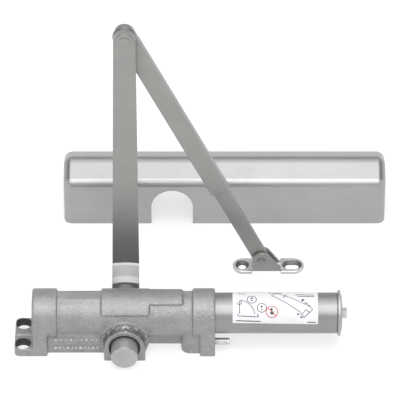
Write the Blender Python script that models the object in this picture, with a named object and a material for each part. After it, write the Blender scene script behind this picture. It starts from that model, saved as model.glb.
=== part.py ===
"""Surface-mounted hydraulic door closer with a rack and pinion, a two-piece arm and a box cover.

The closer lies on its mounting face. The origin is the foot of the pinion axis on that face:
+X runs along the body towards the spring tube, +Y towards the arm side, +Z away from the door.
"""
import math

import bmesh
import bpy
from mathutils import Matrix, Vector

# Gaps between neighbouring solids
GAP = 0.0003
RUN = 0.0004

# Casting
AXIS_Z = 0.0333          # height of the piston and spring axis
PINION_Z = 0.0156        # height of the pinion axis
BARREL_R = 0.0206
BLOCK_R = 0.0231
DOME_R = 0.0232
BORE_R = 0.0155
BLOCK_X = (-0.0859, -0.0718, -0.0630)
BLOCK_HALF = 0.0232
EAR_X = -0.1027
EAR_T = 0.0082
EAR_CORNER_R = 0.005
EAR_HOLE_X = -0.0949
EAR_HOLE_Y = 0.0142
EAR_HOLE_R = 0.0069
RIB_HALF = 0.0026
RIB_T = 0.0010
WEB_HALF = 0.0179
RIGHT_WEB_HALF = 0.0050
FLANGE_X = (0.0632, 0.0700, 0.0840)
FOOT_HALF = 0.0233
HEEL_X = 0.0526
HEEL_HALF = 0.0190
HEEL_CORNER_R = 0.0080
HEEL_TOP = 0.024
PAD_R = 0.0229
PAD_X = (-0.0214, 0.0230, 0.0540)
PAD_ANGLES = (33, 60)
BOSS_FACE_Y = 0.0293
BOSS_ROOT_Y = 0.0180
BOSS_ROOT_R = 0.0225
BOSS_R = 0.0186
BOSS_HALF_X = 0.0192
RECESS_R = 0.0148
RECESS_Y = 0.0263
CROSS_BORE_R = 0.0120

# Pinion and rack
TEETH = 12
PITCH_R = 0.0095
PRESSURE_ANGLE = math.radians(20)
MODULE = 2 * PITCH_R / TEETH
RACK_PITCH = math.pi * MODULE
TOOTH_SHARE = 0.425      # tooth thickness on the pitch line as a share of the pitch
GEAR_TIP_R = PITCH_R + 0.0013
GEAR_ROOT_R = PITCH_R - 0.0020
RACK_TIP = 0.0010
RACK_ROOT = 0.0017
GEAR_HALF = 0.0098
JOURNAL_R = 0.0080
SQUARE_HALF = 0.0055
SHAFT_END_Y = 0.0420
JOURNAL_END_Y = 0.0305
BEARING_Y = (0.0155, 0.0260)
SEAL_Y = (0.0266, 0.0282)
CAP_R = 0.0123
CAP_FACE_Y = -0.0437
CAP_WALL = 0.0017

# Piston, spring and spring tube
PISTON_R = 0.01515
PISTON_X = (-0.0500, 0.0280)
WINDOW_X = (-0.0355, 0.0135)
SEAL_GROOVE_X = (0.0200, 0.0230)
GROOVE_R = 0.01295
BALL_R = 0.0026
BALL_BORE_R = 0.0030
PORT_R = 0.0015
BALL_PLACE = (0.0007, AXIS_Z + 0.0042)
TUBE_R = 0.01905
TUBE_BORE_R = 0.0173
TUBE_X = (0.0663, 0.1974)
COLLAR_R = 0.0213
CAP_END_X = 0.2024
SCREW_R = 0.0037
SCREW_TIP_X = 0.1500
HEX_X = (0.2027, 0.2065)
HEX_FLATS = 0.0089
SEAT_X = (0.1700, 0.1760)
SEAT_R = 0.0162
SPRING_R = 0.0124
SPRING_WIRE_R = 0.0023
SPRING_TURNS = 14
PLUG_X = (-0.0856, -0.0770)

# Anchor stud beside the spring tube
STUD_X = (0.0760, 0.0977)
STUD_Y = -0.0135
STUD_Z = 0.0103
STUD_R = 0.0033

# Valve screws on the arm side of the casting
VALVES = {"latch_valve_screw": -0.0780, "sweep_valve_screw": -0.0480, "backcheck_valve_screw": 0.0480}
VALVE_R = 0.0024
VALVE_INNER_Y = 0.0160

# Main arm
HUB_R = 0.0128
HUB_Y = 0.0310
HUB_PLATE_Y = 0.0468
ARM_T = 0.0065
ARM_Y = 0.0600
SHELF_Z = (0.0283, 0.0443)
ELBOW = Vector((0.0019, 0.0, 0.3018))
ELBOW_R = 0.01005
ELBOW_BOSS_R = 0.0086
ELBOW_BOSS_T = 0.0008
PIN_R = 0.0040
WASHER_T = 0.0024
ELBOW_WASHER_R = 0.0108

# Forearm
FOREARM_Y = 0.0695
KNUCKLE_R = 0.0103
KNUCKLE_T = 0.0065
TUBE_HALF = 0.0091
TUBE_DEPTH = 0.0080
TUBE_WALL = 0.0014
TUBE_END_S = 0.2015
TUBE_HOLLOW_S = 0.0450
ROD_HALF = 0.0074
ROD_T = 0.0046
ROD_START_S = 0.0960
LOCK_SCREWS_S = (0.160, 0.180)
LOCK_SCREW_R = 0.0025

# Shoe
PIVOT = Vector((0.1282, 0.0735, 0.0388))
SHOE_Z = (0.0269, 0.0304)
SHOE_X = (0.1009, 0.1683)
SHOE_HALF_Y = 0.0102
WAIST_X = (0.1193, 0.1460)
EAR_OUTER_Y = 0.00575
CLEVIS_EAR_T = 0.0030
CLEVIS_EAR_R = 0.0096
SHOE_HOLE_X = 0.1100
SHOE_SLOT_X = 0.1569
SHOE_HOLE_R = 0.00365
SINK_DEPTH = 0.0026
SINK_GROW = 0.0029
SLOT_HALF = 0.0028
SHOE_PIN_R = 0.0032

# Cover
COVER_X = (-0.0618, 0.2492)
COVER_Y = (0.1727, 0.2247)
SHOULDER_Z = 0.0497
RIDGE_Z = 0.0610
COVER_WALL = 0.0012
COVER_END_R = 0.0072
SHOULDER_R = 0.0043
ARCH_X = 0.0430
ARCH_R = 0.0200
ARCH_Z = 0.0203

# Label
LABEL_X = (0.1002, 0.1793)
LABEL_ANGLES = (10, 190)
LABEL_T = 0.0002

FOREARM = Vector((PIVOT.x, 0, PIVOT.z)) - ELBOW
FOREARM_TURN = -math.atan2(FOREARM.x, -FOREARM.z)

# Colour, roughness and metallic value of each finish
FINISHES = {
    "casting_paint": ((0.50, 0.50, 0.50), 0.45, 0.6),
    "tube_paint": ((0.52, 0.52, 0.53), 0.35, 0.6),
    "arm_paint": ((0.42, 0.42, 0.41), 0.40, 0.6),
    "cover_finish": ((0.55, 0.55, 0.57), 0.38, 0.7),
    "zinc_plate": ((0.70, 0.70, 0.71), 0.28, 0.9),
    "steel": ((0.45, 0.45, 0.46), 0.30, 1.0),
    "spring_steel": ((0.20, 0.21, 0.23), 0.40, 1.0),
    "bronze": ((0.55, 0.38, 0.20), 0.35, 1.0),
    "rubber": ((0.03, 0.03, 0.03), 0.70, 0.0),
    "label_paper": ((0.90, 0.90, 0.89), 0.60, 0.0),
}


def clear_scene():
    for obj in list(bpy.data.objects):
        bpy.data.objects.remove(obj, do_unlink=True)


def make_material(name):
    colour, roughness, metallic = FINISHES[name]
    material = bpy.data.materials.new(name)
    material.use_nodes = True
    shader = material.node_tree.nodes["Principled BSDF"]
    shader.inputs["Base Color"].default_value = (*colour, 1)
    shader.inputs["Roughness"].default_value = roughness
    shader.inputs["Metallic"].default_value = metallic
    return material


def finish(name, bm, material=None):
    """Turn a bmesh into an object in the scene."""
    bmesh.ops.recalc_face_normals(bm, faces=bm.faces)
    mesh = bpy.data.meshes.new(name)
    bm.to_mesh(mesh)
    bm.free()
    mesh.shade_smooth()
    mesh.set_sharp_from_angle(angle=math.radians(35))
    obj = bpy.data.objects.new(name, mesh)
    bpy.context.scene.collection.objects.link(obj)
    if material:
        mesh.materials.append(MATERIALS[material])
    return obj


def placed(axis, u, v, along):
    """A point from two coordinates across an axis and one along it."""
    if axis == "X":
        return Vector((along, u, v))
    if axis == "Y":
        return Vector((u, along, v))
    return Vector((u, v, along))


def prism(name, outline, axis, span, material=None, far_outline=None):
    """Extrude an outline along an axis, or loft it to an outline with as many points."""
    bm = bmesh.new()
    near = [bm.verts.new(placed(axis, u, v, span[0])) for u, v in outline]
    far = [bm.verts.new(placed(axis, u, v, span[1])) for u, v in far_outline or outline]
    bm.faces.new(near)
    bm.faces.new(far)
    for i in range(len(near)):
        j = (i + 1) % len(near)
        bm.faces.new((near[i], near[j], far[j], far[i]))
    return finish(name, bm, material)


def turned(name, profile, axis, centre, material=None, steps=32):
    """Turn a profile of (radius, place along the axis) points about an axis."""
    bm = bmesh.new()
    closed = profile[0][0] > 0
    points = [bm.verts.new(placed(axis, 0, radius, along)) for radius, along in profile]
    edges = [bm.edges.new(pair) for pair in zip(points, points[1:])]
    if closed:
        edges.append(bm.edges.new((points[-1], points[0])))
    direction = placed(axis, 0, 0, 1)
    bmesh.ops.spin(bm, geom=points + edges, cent=(0, 0, 0), axis=direction,
                   angle=2 * math.pi, steps=steps, use_merge=True)
    bmesh.ops.remove_doubles(bm, verts=bm.verts, dist=1e-6)
    bmesh.ops.translate(bm, verts=bm.verts, vec=placed(axis, centre[0], centre[1], 0))
    return finish(name, bm, material)


def rod(name, radius, axis, centre, span, material=None, steps=32):
    low, high = span
    return turned(name, [(0, low), (radius, low), (radius, high), (0, high)], axis, centre, material, steps)


def ring(name, inner, outer, axis, centre, span, material=None, steps=32):
    low, high = span
    profile = [(inner, low), (outer, low), (outer, high), (inner, high)]
    return turned(name, profile, axis, centre, material, steps)


def combine(target, tool, operation):
    """Apply a tool to a target with a live Boolean, and hide the tool."""
    modifier = target.modifiers.new(tool.name, "BOOLEAN")
    modifier.operation = operation
    modifier.solver = "EXACT"
    modifier.object = tool
    tool.hide_render = True
    tool.display_type = "WIRE"
    return target


def join(target, *tools):
    for tool in tools:
        combine(target, tool, "UNION")


def cut(target, *tools):
    for tool in tools:
        combine(target, tool, "DIFFERENCE")


def arc(centre, radius, start, end, steps):
    """Points on an arc, its angles in degrees."""
    turns = [math.radians(start + (end - start) * i / steps) for i in range(steps + 1)]
    return [(centre[0] + radius * math.cos(t), centre[1] + radius * math.sin(t)) for t in turns]


def rectangle(low_u, high_u, low_v, high_v):
    return [(low_u, low_v), (high_u, low_v), (high_u, high_v), (low_u, high_v)]


def slot_outline(centre, half_length, radius, steps=8):
    right = arc((centre[0] + half_length, centre[1]), radius, -90, 90, steps)
    left = arc((centre[0] - half_length, centre[1]), radius, 90, 270, steps)
    return right + left


def hexagon(centre, flats):
    return arc(centre, flats / math.sqrt(3), 0, 300, 5)


def dome_section(radius, half_base, steps=24):
    """A round top on straight sides that reach the mounting face."""
    return arc((0, AXIS_Z), radius, 0, 180, steps) + [(-half_base, 0), (half_base, 0)]


def make_cylinder_body():
    profile = [(0, BLOCK_X[1] - 0.001), (BLOCK_R, BLOCK_X[1] - 0.001), (BLOCK_R, BLOCK_X[2]),
               (BARREL_R, BLOCK_X[2]), (BARREL_R, FLANGE_X[0]), (BLOCK_R, FLANGE_X[0]),
               (BLOCK_R, FLANGE_X[1] + 0.001), (0, FLANGE_X[1] + 0.001)]
    body = turned("cylinder_body", profile, "X", (0, AXIS_Z), "casting_paint", 48)
    block = prism("block_shape", dome_section(DOME_R, BLOCK_HALF), "X", BLOCK_X[:2])
    foot = prism("foot_shape", dome_section(DOME_R, FOOT_HALF), "X", FLANGE_X[1:])
    join(body, block, foot)
    join(body, make_ear(), make_ear_rib())
    web = prism("web_shape", rectangle(-WEB_HALF, WEB_HALF, 0, HEEL_TOP), "X", (BLOCK_X[1] - 0.001, 0))
    right_web = prism("right_web_shape", rectangle(-RIGHT_WEB_HALF, RIGHT_WEB_HALF, 0, HEEL_TOP), "X",
                      (0, FLANGE_X[0]))
    join(body, web, right_web, make_heel())
    for name, span, angle in (("pad", PAD_X[:2], PAD_ANGLES[0]), ("step", PAD_X[1:], PAD_ANGLES[1])):
        join(body, make_pad(name, span, angle))
    join(body, *make_bosses())
    cut(body, *casting_cutters())
    return body


def make_ear():
    left = EAR_X + EAR_CORNER_R
    side = BLOCK_HALF - EAR_CORNER_R
    outline = arc((left, side), EAR_CORNER_R, 90, 180, 5)
    outline += arc((left, -side), EAR_CORNER_R, 180, 270, 5)
    outline += [(BLOCK_X[0] + 0.001, -BLOCK_HALF), (BLOCK_X[0] + 0.001, BLOCK_HALF)]
    return prism("ear_shape", outline, "Z", (0, EAR_T))


def make_ear_rib():
    outline = rectangle(EAR_X, BLOCK_X[0] + 0.001, -RIB_HALF, RIB_HALF)
    return prism("ear_rib_shape", outline, "Z", (EAR_T - 0.001, EAR_T + RIB_T))


def make_heel():
    left = HEEL_X + HEEL_CORNER_R
    side = HEEL_HALF - HEEL_CORNER_R
    outline = arc((left, side), HEEL_CORNER_R, 90, 180, 6)
    outline += arc((left, -side), HEEL_CORNER_R, 180, 270, 6)
    outline += [(FLANGE_X[1] + 0.001, -HEEL_HALF), (FLANGE_X[1] + 0.001, HEEL_HALF)]
    return prism("heel_shape", outline, "Z", (0, HEEL_TOP))


def make_pad(name, span, angle):
    outline = arc((0, AXIS_Z), PAD_R, angle, 180 - angle, 24)
    outline += arc((0, AXIS_Z), BORE_R + 0.002, 180 - angle, angle, 8)
    return prism(name + "_shape", outline, "X", span)


def make_bosses():
    """The tapered pinion bosses on both sides, and the square foot that carries them."""
    profile = [(0, -BOSS_FACE_Y), (BOSS_R, -BOSS_FACE_Y), (BOSS_ROOT_R, -BOSS_ROOT_Y),
               (BOSS_ROOT_R, BOSS_ROOT_Y), (BOSS_R, BOSS_FACE_Y), (0, BOSS_FACE_Y)]
    cones = turned("boss_shape", profile, "Y", (0, PINION_Z), steps=48)
    outline = rectangle(-BOSS_HALF_X, BOSS_HALF_X, -0.01, PINION_Z)
    sole = prism("sole_shape", outline, "Y", (-BOSS_FACE_Y, BOSS_FACE_Y))
    return cones, sole


def casting_cutters():
    beyond = 0.05
    socket_x = TUBE_X[0] - GAP
    bore = [(0, BLOCK_X[0] - beyond), (BORE_R, BLOCK_X[0] - beyond), (BORE_R, socket_x),
            (TUBE_R + GAP, socket_x), (TUBE_R + GAP, FLANGE_X[2] + beyond), (0, FLANGE_X[2] + beyond)]
    cavity = turned("bore_cutter", bore, "X", (0, AXIS_Z), steps=48)
    cross = [(0, -beyond), (RECESS_R, -beyond), (RECESS_R, -RECESS_Y), (CROSS_BORE_R, -RECESS_Y),
             (CROSS_BORE_R, RECESS_Y), (RECESS_R, RECESS_Y), (RECESS_R, beyond), (0, beyond)]
    join(cavity, turned("cross_bore_shape", cross, "Y", (0, PINION_Z), steps=32))
    cutters = [
        prism("floor_cutter", rectangle(-0.2, 0.2, -0.1, 0.1), "Z", (-0.05, 0)),
        rod("stud_cutter", STUD_R + GAP, "X", (STUD_Y, STUD_Z), (STUD_X[0] - GAP, 0.09), steps=16),
    ]
    for tag, side in (("front", -1), ("back", 1)):
        centre = (EAR_HOLE_X, side * EAR_HOLE_Y)
        cutters.append(rod(tag + "_ear_hole_cutter", EAR_HOLE_R, "Z", centre, (-0.01, 0.02), steps=24))
    for name, place in VALVES.items():
        span = (VALVE_INNER_Y - 0.004, VALVE_INNER_Y + 0.014)
        cutters.append(rod(name + "_cutter", VALVE_R + GAP, "Y", (place, AXIS_Z), span, steps=12))
    return cutters + [cavity]


def make_spring_tube():
    ring("spring_tube", TUBE_BORE_R, TUBE_R, "X", (0, AXIS_Z), TUBE_X, "tube_paint", 48)


def make_tube_end_cap():
    inner, spigot = SCREW_R + RUN, TUBE_BORE_R - GAP
    face = TUBE_X[1] + GAP
    rim = face + 0.0028
    profile = [(inner, face - 0.006), (spigot, face - 0.006), (spigot, face), (COLLAR_R, face),
               (COLLAR_R, rim), (COLLAR_R - 0.002, rim + 0.0012), (0.012, CAP_END_X - 0.0003),
               (inner, CAP_END_X)]
    turned("tube_end_cap", profile, "X", (0, AXIS_Z), "tube_paint", 48)


def make_power_screw():
    screw = rod("power_screw", SCREW_R, "X", (0, AXIS_Z), (SCREW_TIP_X, HEX_X[1] - 0.001), "zinc_plate", 16)
    head = prism("power_hex_shape", hexagon((0, AXIS_Z), HEX_FLATS), "X", HEX_X)
    join(screw, head)


def make_spring_seat():
    ring("spring_seat", SCREW_R + RUN, SEAT_R, "X", (0, AXIS_Z), SEAT_X, "steel", 24)


def make_closing_spring():
    """Open coils between the piston and the spring seat, with the ends closed by flat turns."""
    low = PISTON_X[1] + GAP + SPRING_WIRE_R
    high = SEAT_X[0] - GAP - SPRING_WIRE_R
    per_turn = 12
    count = SPRING_TURNS * per_turn
    curve = bpy.data.curves.new("closing_spring", "CURVE")
    curve.dimensions = "3D"
    curve.bevel_depth = SPRING_WIRE_R
    curve.bevel_resolution = 1
    curve.use_fill_caps = True
    spline = curve.splines.new("POLY")
    spline.points.add(count)
    ramp = per_turn
    pitch_steps = count - 2 * ramp
    for i, point in enumerate(spline.points):
        share = min(max((i - ramp) / pitch_steps, 0), 1)
        closed_share = min(i, ramp) / ramp + max(i - count + ramp, 0) / ramp
        along = low + closed_share * SPRING_WIRE_R * 2.2 + share * (high - low - SPRING_WIRE_R * 4.4)
        turn = 2 * math.pi * i / per_turn
        point.co = (along, SPRING_R * math.cos(turn), AXIS_Z + SPRING_R * math.sin(turn), 1)
    curve.materials.append(MATERIALS["spring_steel"])
    spring = bpy.data.objects.new("closing_spring", curve)
    bpy.context.scene.collection.objects.link(spring)


def make_piston():
    start, end = PISTON_X
    near, far = SEAL_GROOVE_X
    profile = [(0, start), (PISTON_R, start), (PISTON_R, near), (GROOVE_R, near), (GROOVE_R, far),
               (PISTON_R, far), (PISTON_R, end), (0, end)]
    piston = turned("piston", profile, "X", (0, AXIS_Z), "steel", 48)
    port = [(0, start - 0.01), (BALL_BORE_R, start - 0.01), (BALL_BORE_R, start + 0.009),
            (PORT_R, start + 0.009), (PORT_R, end + 0.01), (0, end + 0.01)]
    cut(piston, turned("port_cutter", port, "X", BALL_PLACE, steps=12), make_rack_cutter())


def make_rack_cutter():
    """The piston's window, with straight-flanked rack teeth left standing from its roof."""
    pitch_z = PINION_Z + PITCH_R
    root_z = pitch_z + RACK_ROOT
    slope = math.tan(PRESSURE_ANGLE)
    half = TOOTH_SHARE * RACK_PITCH / 2
    half_tip = half - RACK_TIP * slope
    half_root = half + RACK_ROOT * slope
    first = math.ceil(WINDOW_X[0] / RACK_PITCH + 0.6)
    last = math.floor(WINDOW_X[1] / RACK_PITCH - 0.6)
    outline = [(WINDOW_X[1], 0), (WINDOW_X[0], 0), (WINDOW_X[0], root_z)]
    for i in range(first, last + 1):
        x = i * RACK_PITCH
        outline += [(x - half_root, root_z), (x - half_tip, pitch_z - RACK_TIP),
                    (x + half_tip, pitch_z - RACK_TIP), (x + half_root, root_z)]
    outline.append((WINDOW_X[1], root_z))
    return prism("rack_window_cutter", outline, "Y", (-0.02, 0.02))


def involute_flank():
    """Points up one flank of a gear tooth, as (radius, angle from the tooth's centre line)."""
    base = PITCH_R * math.cos(PRESSURE_ANGLE)
    lean = math.tan(PRESSURE_ANGLE) - PRESSURE_ANGLE
    half = TOOTH_SHARE * RACK_PITCH / 2 / PITCH_R
    flank = [(GEAR_ROOT_R, half + lean)]
    steps = 4
    for i in range(steps + 1):
        radius = base + (GEAR_TIP_R - base) * i / steps
        roll = math.acos(base / radius)
        flank.append((radius, half + lean - (math.tan(roll) - roll)))
    return flank


def make_pinion_shaft():
    """Journals, square ends and a 12-tooth gear with one tooth space under the rack's middle tooth."""
    gear_outline = []
    for i in range(TEETH):
        middle = math.pi / 2 + 2 * math.pi * (i + 0.5) / TEETH
        flank = involute_flank()
        side = [(r, middle - a) for r, a in flank] + [(r, middle + a) for r, a in reversed(flank)]
        gear_outline += [(r * math.cos(t), PINION_Z + r * math.sin(t)) for r, t in side]
    shaft = prism("pinion_shaft", gear_outline, "Y", (-GEAR_HALF, GEAR_HALF), "steel")
    pinion = (0, PINION_Z)
    journal_span = (GEAR_HALF - 0.0005, JOURNAL_END_Y)
    square = rectangle(-SQUARE_HALF, SQUARE_HALF, PINION_Z - SQUARE_HALF, PINION_Z + SQUARE_HALF)
    for tag, side in (("front", -1), ("back", 1)):
        span = sorted(side * y for y in journal_span)
        join(shaft, rod(tag + "_journal_shape", JOURNAL_R, "Y", pinion, span, steps=24))
        end = sorted((side * (JOURNAL_END_Y - 0.001), side * (SHAFT_END_Y - (0.003 if side < 0 else 0))))
        join(shaft, prism(tag + "_square_shape", square, "Y", end))
    tapped = rod("tapped_hole_cutter", SCREW_R, "Y", pinion, (SHAFT_END_Y - 0.014, SHAFT_END_Y + 0.01), steps=16)
    cut(shaft, tapped)


def make_pinion_trim():
    pinion = (0, PINION_Z)
    inner = JOURNAL_R + RUN
    for tag, side in (("front", -1), ("back", 1)):
        bearing = sorted(side * y for y in BEARING_Y)
        ring("pinion_bearing_" + tag, inner, CROSS_BORE_R - GAP, "Y", pinion, bearing, "bronze", 24)
        seal = sorted(side * y for y in SEAL_Y)
        ring("pinion_seal_" + tag, inner, RECESS_R - GAP, "Y", pinion, seal, "rubber", 24)
    rim = -(SEAL_Y[1] + GAP)
    hollow = CAP_R - CAP_WALL
    profile = [(0, CAP_FACE_Y), (CAP_R - 0.0005, CAP_FACE_Y), (CAP_R, CAP_FACE_Y + 0.0005), (CAP_R, rim),
               (hollow, rim), (hollow, CAP_FACE_Y + CAP_WALL), (0, CAP_FACE_Y + CAP_WALL)]
    turned("pinion_cap", profile, "Y", pinion, "casting_paint", 40)


def make_seals_and_plug():
    axis = (0, AXIS_Z)
    span = (SEAL_GROOVE_X[0] + GAP, SEAL_GROOVE_X[1] - GAP)
    ring("piston_seal_ring", GROOVE_R + GAP, PISTON_R, "X", axis, span, "rubber", 32)
    plug = rod("end_plug", BORE_R - GAP, "X", axis, PLUG_X, "steel", 40)
    cut(plug, prism("plug_socket_cutter", hexagon(axis, 0.010), "X", (PLUG_X[0] - 0.01, PLUG_X[0] + 0.005)))
    bm = bmesh.new()
    centre = Matrix.Translation((PISTON_X[0] + 0.006, *BALL_PLACE))
    bmesh.ops.create_uvsphere(bm, u_segments=12, v_segments=8, radius=BALL_R, matrix=centre)
    finish("check_ball", bm, "steel")


def make_valve_screws():
    for name, x in VALVES.items():
        outer = BLOCK_R if x < BLOCK_X[2] else BARREL_R
        face = outer - 0.0008
        screw = rod(name, VALVE_R, "Y", (x, AXIS_Z), (VALVE_INNER_Y, face), "zinc_plate", 12)
        slot = rectangle(x - 0.0005, x + 0.0005, AXIS_Z - 0.004, AXIS_Z + 0.004)
        cut(screw, prism(name + "_slot_cutter", slot, "Y", (face - 0.0008, face + 0.005)))


def make_anchor_stud():
    tip = STUD_X[1]
    profile = [(0, STUD_X[0]), (STUD_R, STUD_X[0]), (STUD_R, tip - 0.0006), (STUD_R - 0.0006, tip), (0, tip)]
    turned("anchor_stud", profile, "X", (STUD_Y, STUD_Z), "zinc_plate", 20)


def arm_side_outline():
    """The main arm seen from the side: the hub plate, the sloping shelf and the straight blade."""
    slope = Vector((ARM_Y - HUB_PLATE_Y, SHELF_Z[1] - SHELF_Z[0])).normalized()
    back = Vector((slope.y, -slope.x)) * ARM_T
    start = Vector((HUB_PLATE_Y, SHELF_Z[0])) + back
    rear_low = start + slope * ((HUB_PLATE_Y + ARM_T - start.x) / slope.x)
    rear_high = start + slope * ((ARM_Y + ARM_T - start.x) / slope.x)
    low, high = -0.01, ELBOW.z + 0.02
    return [(HUB_PLATE_Y, low), (HUB_PLATE_Y, SHELF_Z[0]), (ARM_Y, SHELF_Z[1]), (ARM_Y, high),
            (ARM_Y + ARM_T, high), tuple(rear_high), tuple(rear_low), (HUB_PLATE_Y + ARM_T, low)]


def make_main_arm():
    pinion = (0, PINION_Z)
    elbow = (ELBOW.x, ELBOW.z)
    arm = prism("main_arm", arm_side_outline(), "X", (-0.02, 0.02), "arm_paint")
    outline = arc(pinion, HUB_R, 180, 360, 16) + arc(elbow, ELBOW_R, 0, 180, 16)
    combine(arm, prism("arm_front_shape", outline, "Y", (0.02, 0.09)), "INTERSECT")
    join(arm, rod("hub_shape", HUB_R, "Y", pinion, (HUB_Y, HUB_PLATE_Y + 0.002), steps=32))
    boss_span = (ARM_Y - ELBOW_BOSS_T, ARM_Y + 0.001)
    join(arm, rod("elbow_boss_shape", ELBOW_BOSS_R, "Y", elbow, boss_span, steps=32))
    half = SQUARE_HALF + GAP
    socket = rectangle(-half, half, PINION_Z - half, PINION_Z + half)
    cut(arm,
        prism("socket_cutter", socket, "Y", (HUB_Y - 0.01, SHAFT_END_Y + GAP)),
        rod("screw_hole_cutter", SCREW_R, "Y", pinion, (SHAFT_END_Y, 0.07), steps=16),
        rod("elbow_hole_cutter", PIN_R + GAP, "Y", elbow, (0.05, 0.09), steps=24))


def make_arm_fasteners():
    pinion = (0, PINION_Z)
    elbow = (ELBOW.x, ELBOW.z)
    back = HUB_PLATE_Y + ARM_T + GAP
    washer_back = back + 0.0014
    head = washer_back + GAP
    ring("arm_washer", SCREW_R, 0.0080, "Y", pinion, (back, washer_back), "zinc_plate", 24)
    screw = rod("arm_screw", SCREW_R - GAP, "Y", pinion, (SHAFT_END_Y - 0.012, head + 0.001), "zinc_plate", 16)
    join(screw, prism("arm_screw_head_shape", hexagon(pinion, 0.0110), "Y", (head, head + 0.0045)))
    front_face = ARM_Y - ELBOW_BOSS_T - GAP
    rear_face = FOREARM_Y + KNUCKLE_T + GAP
    profile = [(0, front_face - 0.0007), (0.0046, front_face - 0.0007), (0.0051, front_face),
               (PIN_R, front_face), (PIN_R, rear_face), (0.0065, rear_face), (0.0058, rear_face + 0.0022),
               (0, rear_face + 0.0022)]
    turned("elbow_pin", profile, "Y", elbow, "steel", 24)
    washer = (ARM_Y + ARM_T + GAP, ARM_Y + ARM_T + GAP + WASHER_T)
    ring("elbow_washer", PIN_R + GAP, ELBOW_WASHER_R, "Y", elbow, washer, "steel", 24)


def tilt(*objects):
    """Hang pieces that are modelled straight down from the elbow along the forearm."""
    for obj in objects:
        obj.location = ELBOW
        obj.rotation_euler = (0, FOREARM_TURN, 0)


def make_forearm_tube():
    depth = (FOREARM_Y, FOREARM_Y + TUBE_DEPTH)
    outline = rectangle(-TUBE_HALF, TUBE_HALF, -TUBE_END_S, -KNUCKLE_R)
    tube = prism("forearm_tube", outline, "Y", depth, "arm_paint")
    neck = rectangle(-TUBE_HALF, TUBE_HALF, -KNUCKLE_R - 0.001, 0)
    knuckle_depth = (FOREARM_Y, FOREARM_Y + KNUCKLE_T)
    shapes = [prism("neck_shape", neck, "Y", knuckle_depth),
              rod("knuckle_shape", KNUCKLE_R, "Y", (0, 0), knuckle_depth, steps=32)]
    inner_half = TUBE_HALF - TUBE_WALL
    hollow = rectangle(-inner_half, inner_half, -TUBE_END_S - 0.01, -TUBE_HOLLOW_S)
    inner_depth = (depth[0] + TUBE_WALL, depth[1] - TUBE_WALL)
    cutters = [prism("hollow_cutter", hollow, "Y", inner_depth),
               rod("knuckle_hole_cutter", PIN_R + GAP, "Y", (0, 0), (0.06, 0.09), steps=24)]
    for i, s in enumerate(LOCK_SCREWS_S, 1):
        cutters.append(rod(f"lock_hole_cutter_{i}", LOCK_SCREW_R + GAP, "Y", (0, -s), (0.0745, 0.09), steps=16))
    tilt(tube, *shapes, *cutters)
    join(tube, *shapes)
    cut(tube, *cutters)


def make_forearm_rod():
    middle = FOREARM_Y + TUBE_DEPTH / 2
    depth = (middle - ROD_T / 2, middle + ROD_T / 2)
    length = FOREARM.length
    outline = arc((0, -length), ROD_HALF, 180, 360, 16)
    outline += [(ROD_HALF, -ROD_START_S), (-ROD_HALF, -ROD_START_S)]
    bar = prism("forearm_rod", outline, "Y", depth, "arm_paint")
    eye = rod("eye_cutter", SHOE_PIN_R + GAP, "Y", (0, -length), (0.06, 0.09), steps=24)
    tilt(bar, eye)
    cut(bar, eye)


def make_lock_screws():
    back = FOREARM_Y + TUBE_DEPTH
    tip = FOREARM_Y + TUBE_DEPTH / 2 + ROD_T / 2 + GAP
    for i, s in enumerate(LOCK_SCREWS_S, 1):
        name = f"forearm_lock_screw_{i}"
        screw = rod(name, LOCK_SCREW_R, "Y", (0, -s), (tip, back + 0.002), "zinc_plate", 16)
        head = prism(name + "_head_shape", hexagon((0, -s), 0.0080), "Y", (back + GAP, back + 0.0035))
        tilt(screw, head)
        join(screw, head)


def make_shoe_bracket():
    middle = PIVOT.y
    corner = SHOE_HALF_Y - 0.0005
    plates = []
    for name, inner, outer in (("left", WAIST_X[0], SHOE_X[0]), ("right", WAIST_X[1], SHOE_X[1])):
        side = 1 if outer > inner else -1
        centre = (outer - side * corner, middle)
        end = arc(centre, corner, -90, 90, 16) if side > 0 else arc(centre, corner, 90, 270, 16)
        edge = [(inner, middle + corner), (inner, middle - corner)]
        outline = end + (edge if side > 0 else edge[::-1])
        plates.append(prism(name + "_wing_shape", outline, "Z", SHOE_Z))
    waist = rectangle(WAIST_X[0] - 0.002, WAIST_X[1] + 0.002, middle - EAR_OUTER_Y, middle + EAR_OUTER_Y)
    shoe = prism("shoe_bracket", waist, "Z", SHOE_Z, "zinc_plate")
    join(shoe, *plates)
    centre = (PIVOT.x, PIVOT.z)
    outline = arc(centre, CLEVIS_EAR_R, 40, 180, 12)
    outline += [(WAIST_X[0], SHOE_Z[0]), (WAIST_X[1], SHOE_Z[0]), (WAIST_X[1], SHOE_Z[1])]
    for tag, side in (("front", -1), ("rear", 1)):
        span = sorted((middle + side * EAR_OUTER_Y, middle + side * (EAR_OUTER_Y - CLEVIS_EAR_T)))
        join(shoe, prism(tag + "_clevis_shape", outline, "Y", span))
    cut(shoe, *shoe_cutters())


def shoe_cutters():
    middle = PIVOT.y
    through = (SHOE_Z[0] - 0.01, SHOE_Z[1] + 0.01)
    sink = (SHOE_Z[1] - SINK_DEPTH, SHOE_Z[1] + 0.0001)
    cutters = [rod("shoe_pin_cutter", SHOE_PIN_R + GAP, "Y", (PIVOT.x, PIVOT.z), (0.06, 0.09), steps=24)]
    large_r = SHOE_HOLE_R + SINK_GROW
    hole = [arc((SHOE_HOLE_X, middle), radius, 0, 345, 23) for radius in (SHOE_HOLE_R, large_r)]
    slot = [slot_outline((SHOE_SLOT_X, middle), SLOT_HALF, radius) for radius in (SHOE_HOLE_R, large_r)]
    for tag, (small, large) in (("hole", hole), ("slot", slot)):
        cutters.append(prism("shoe_" + tag + "_cutter", small, "Z", through))
        cutters.append(prism("shoe_" + tag + "_sink_cutter", small, "Z", sink, far_outline=large))
    return cutters


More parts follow.
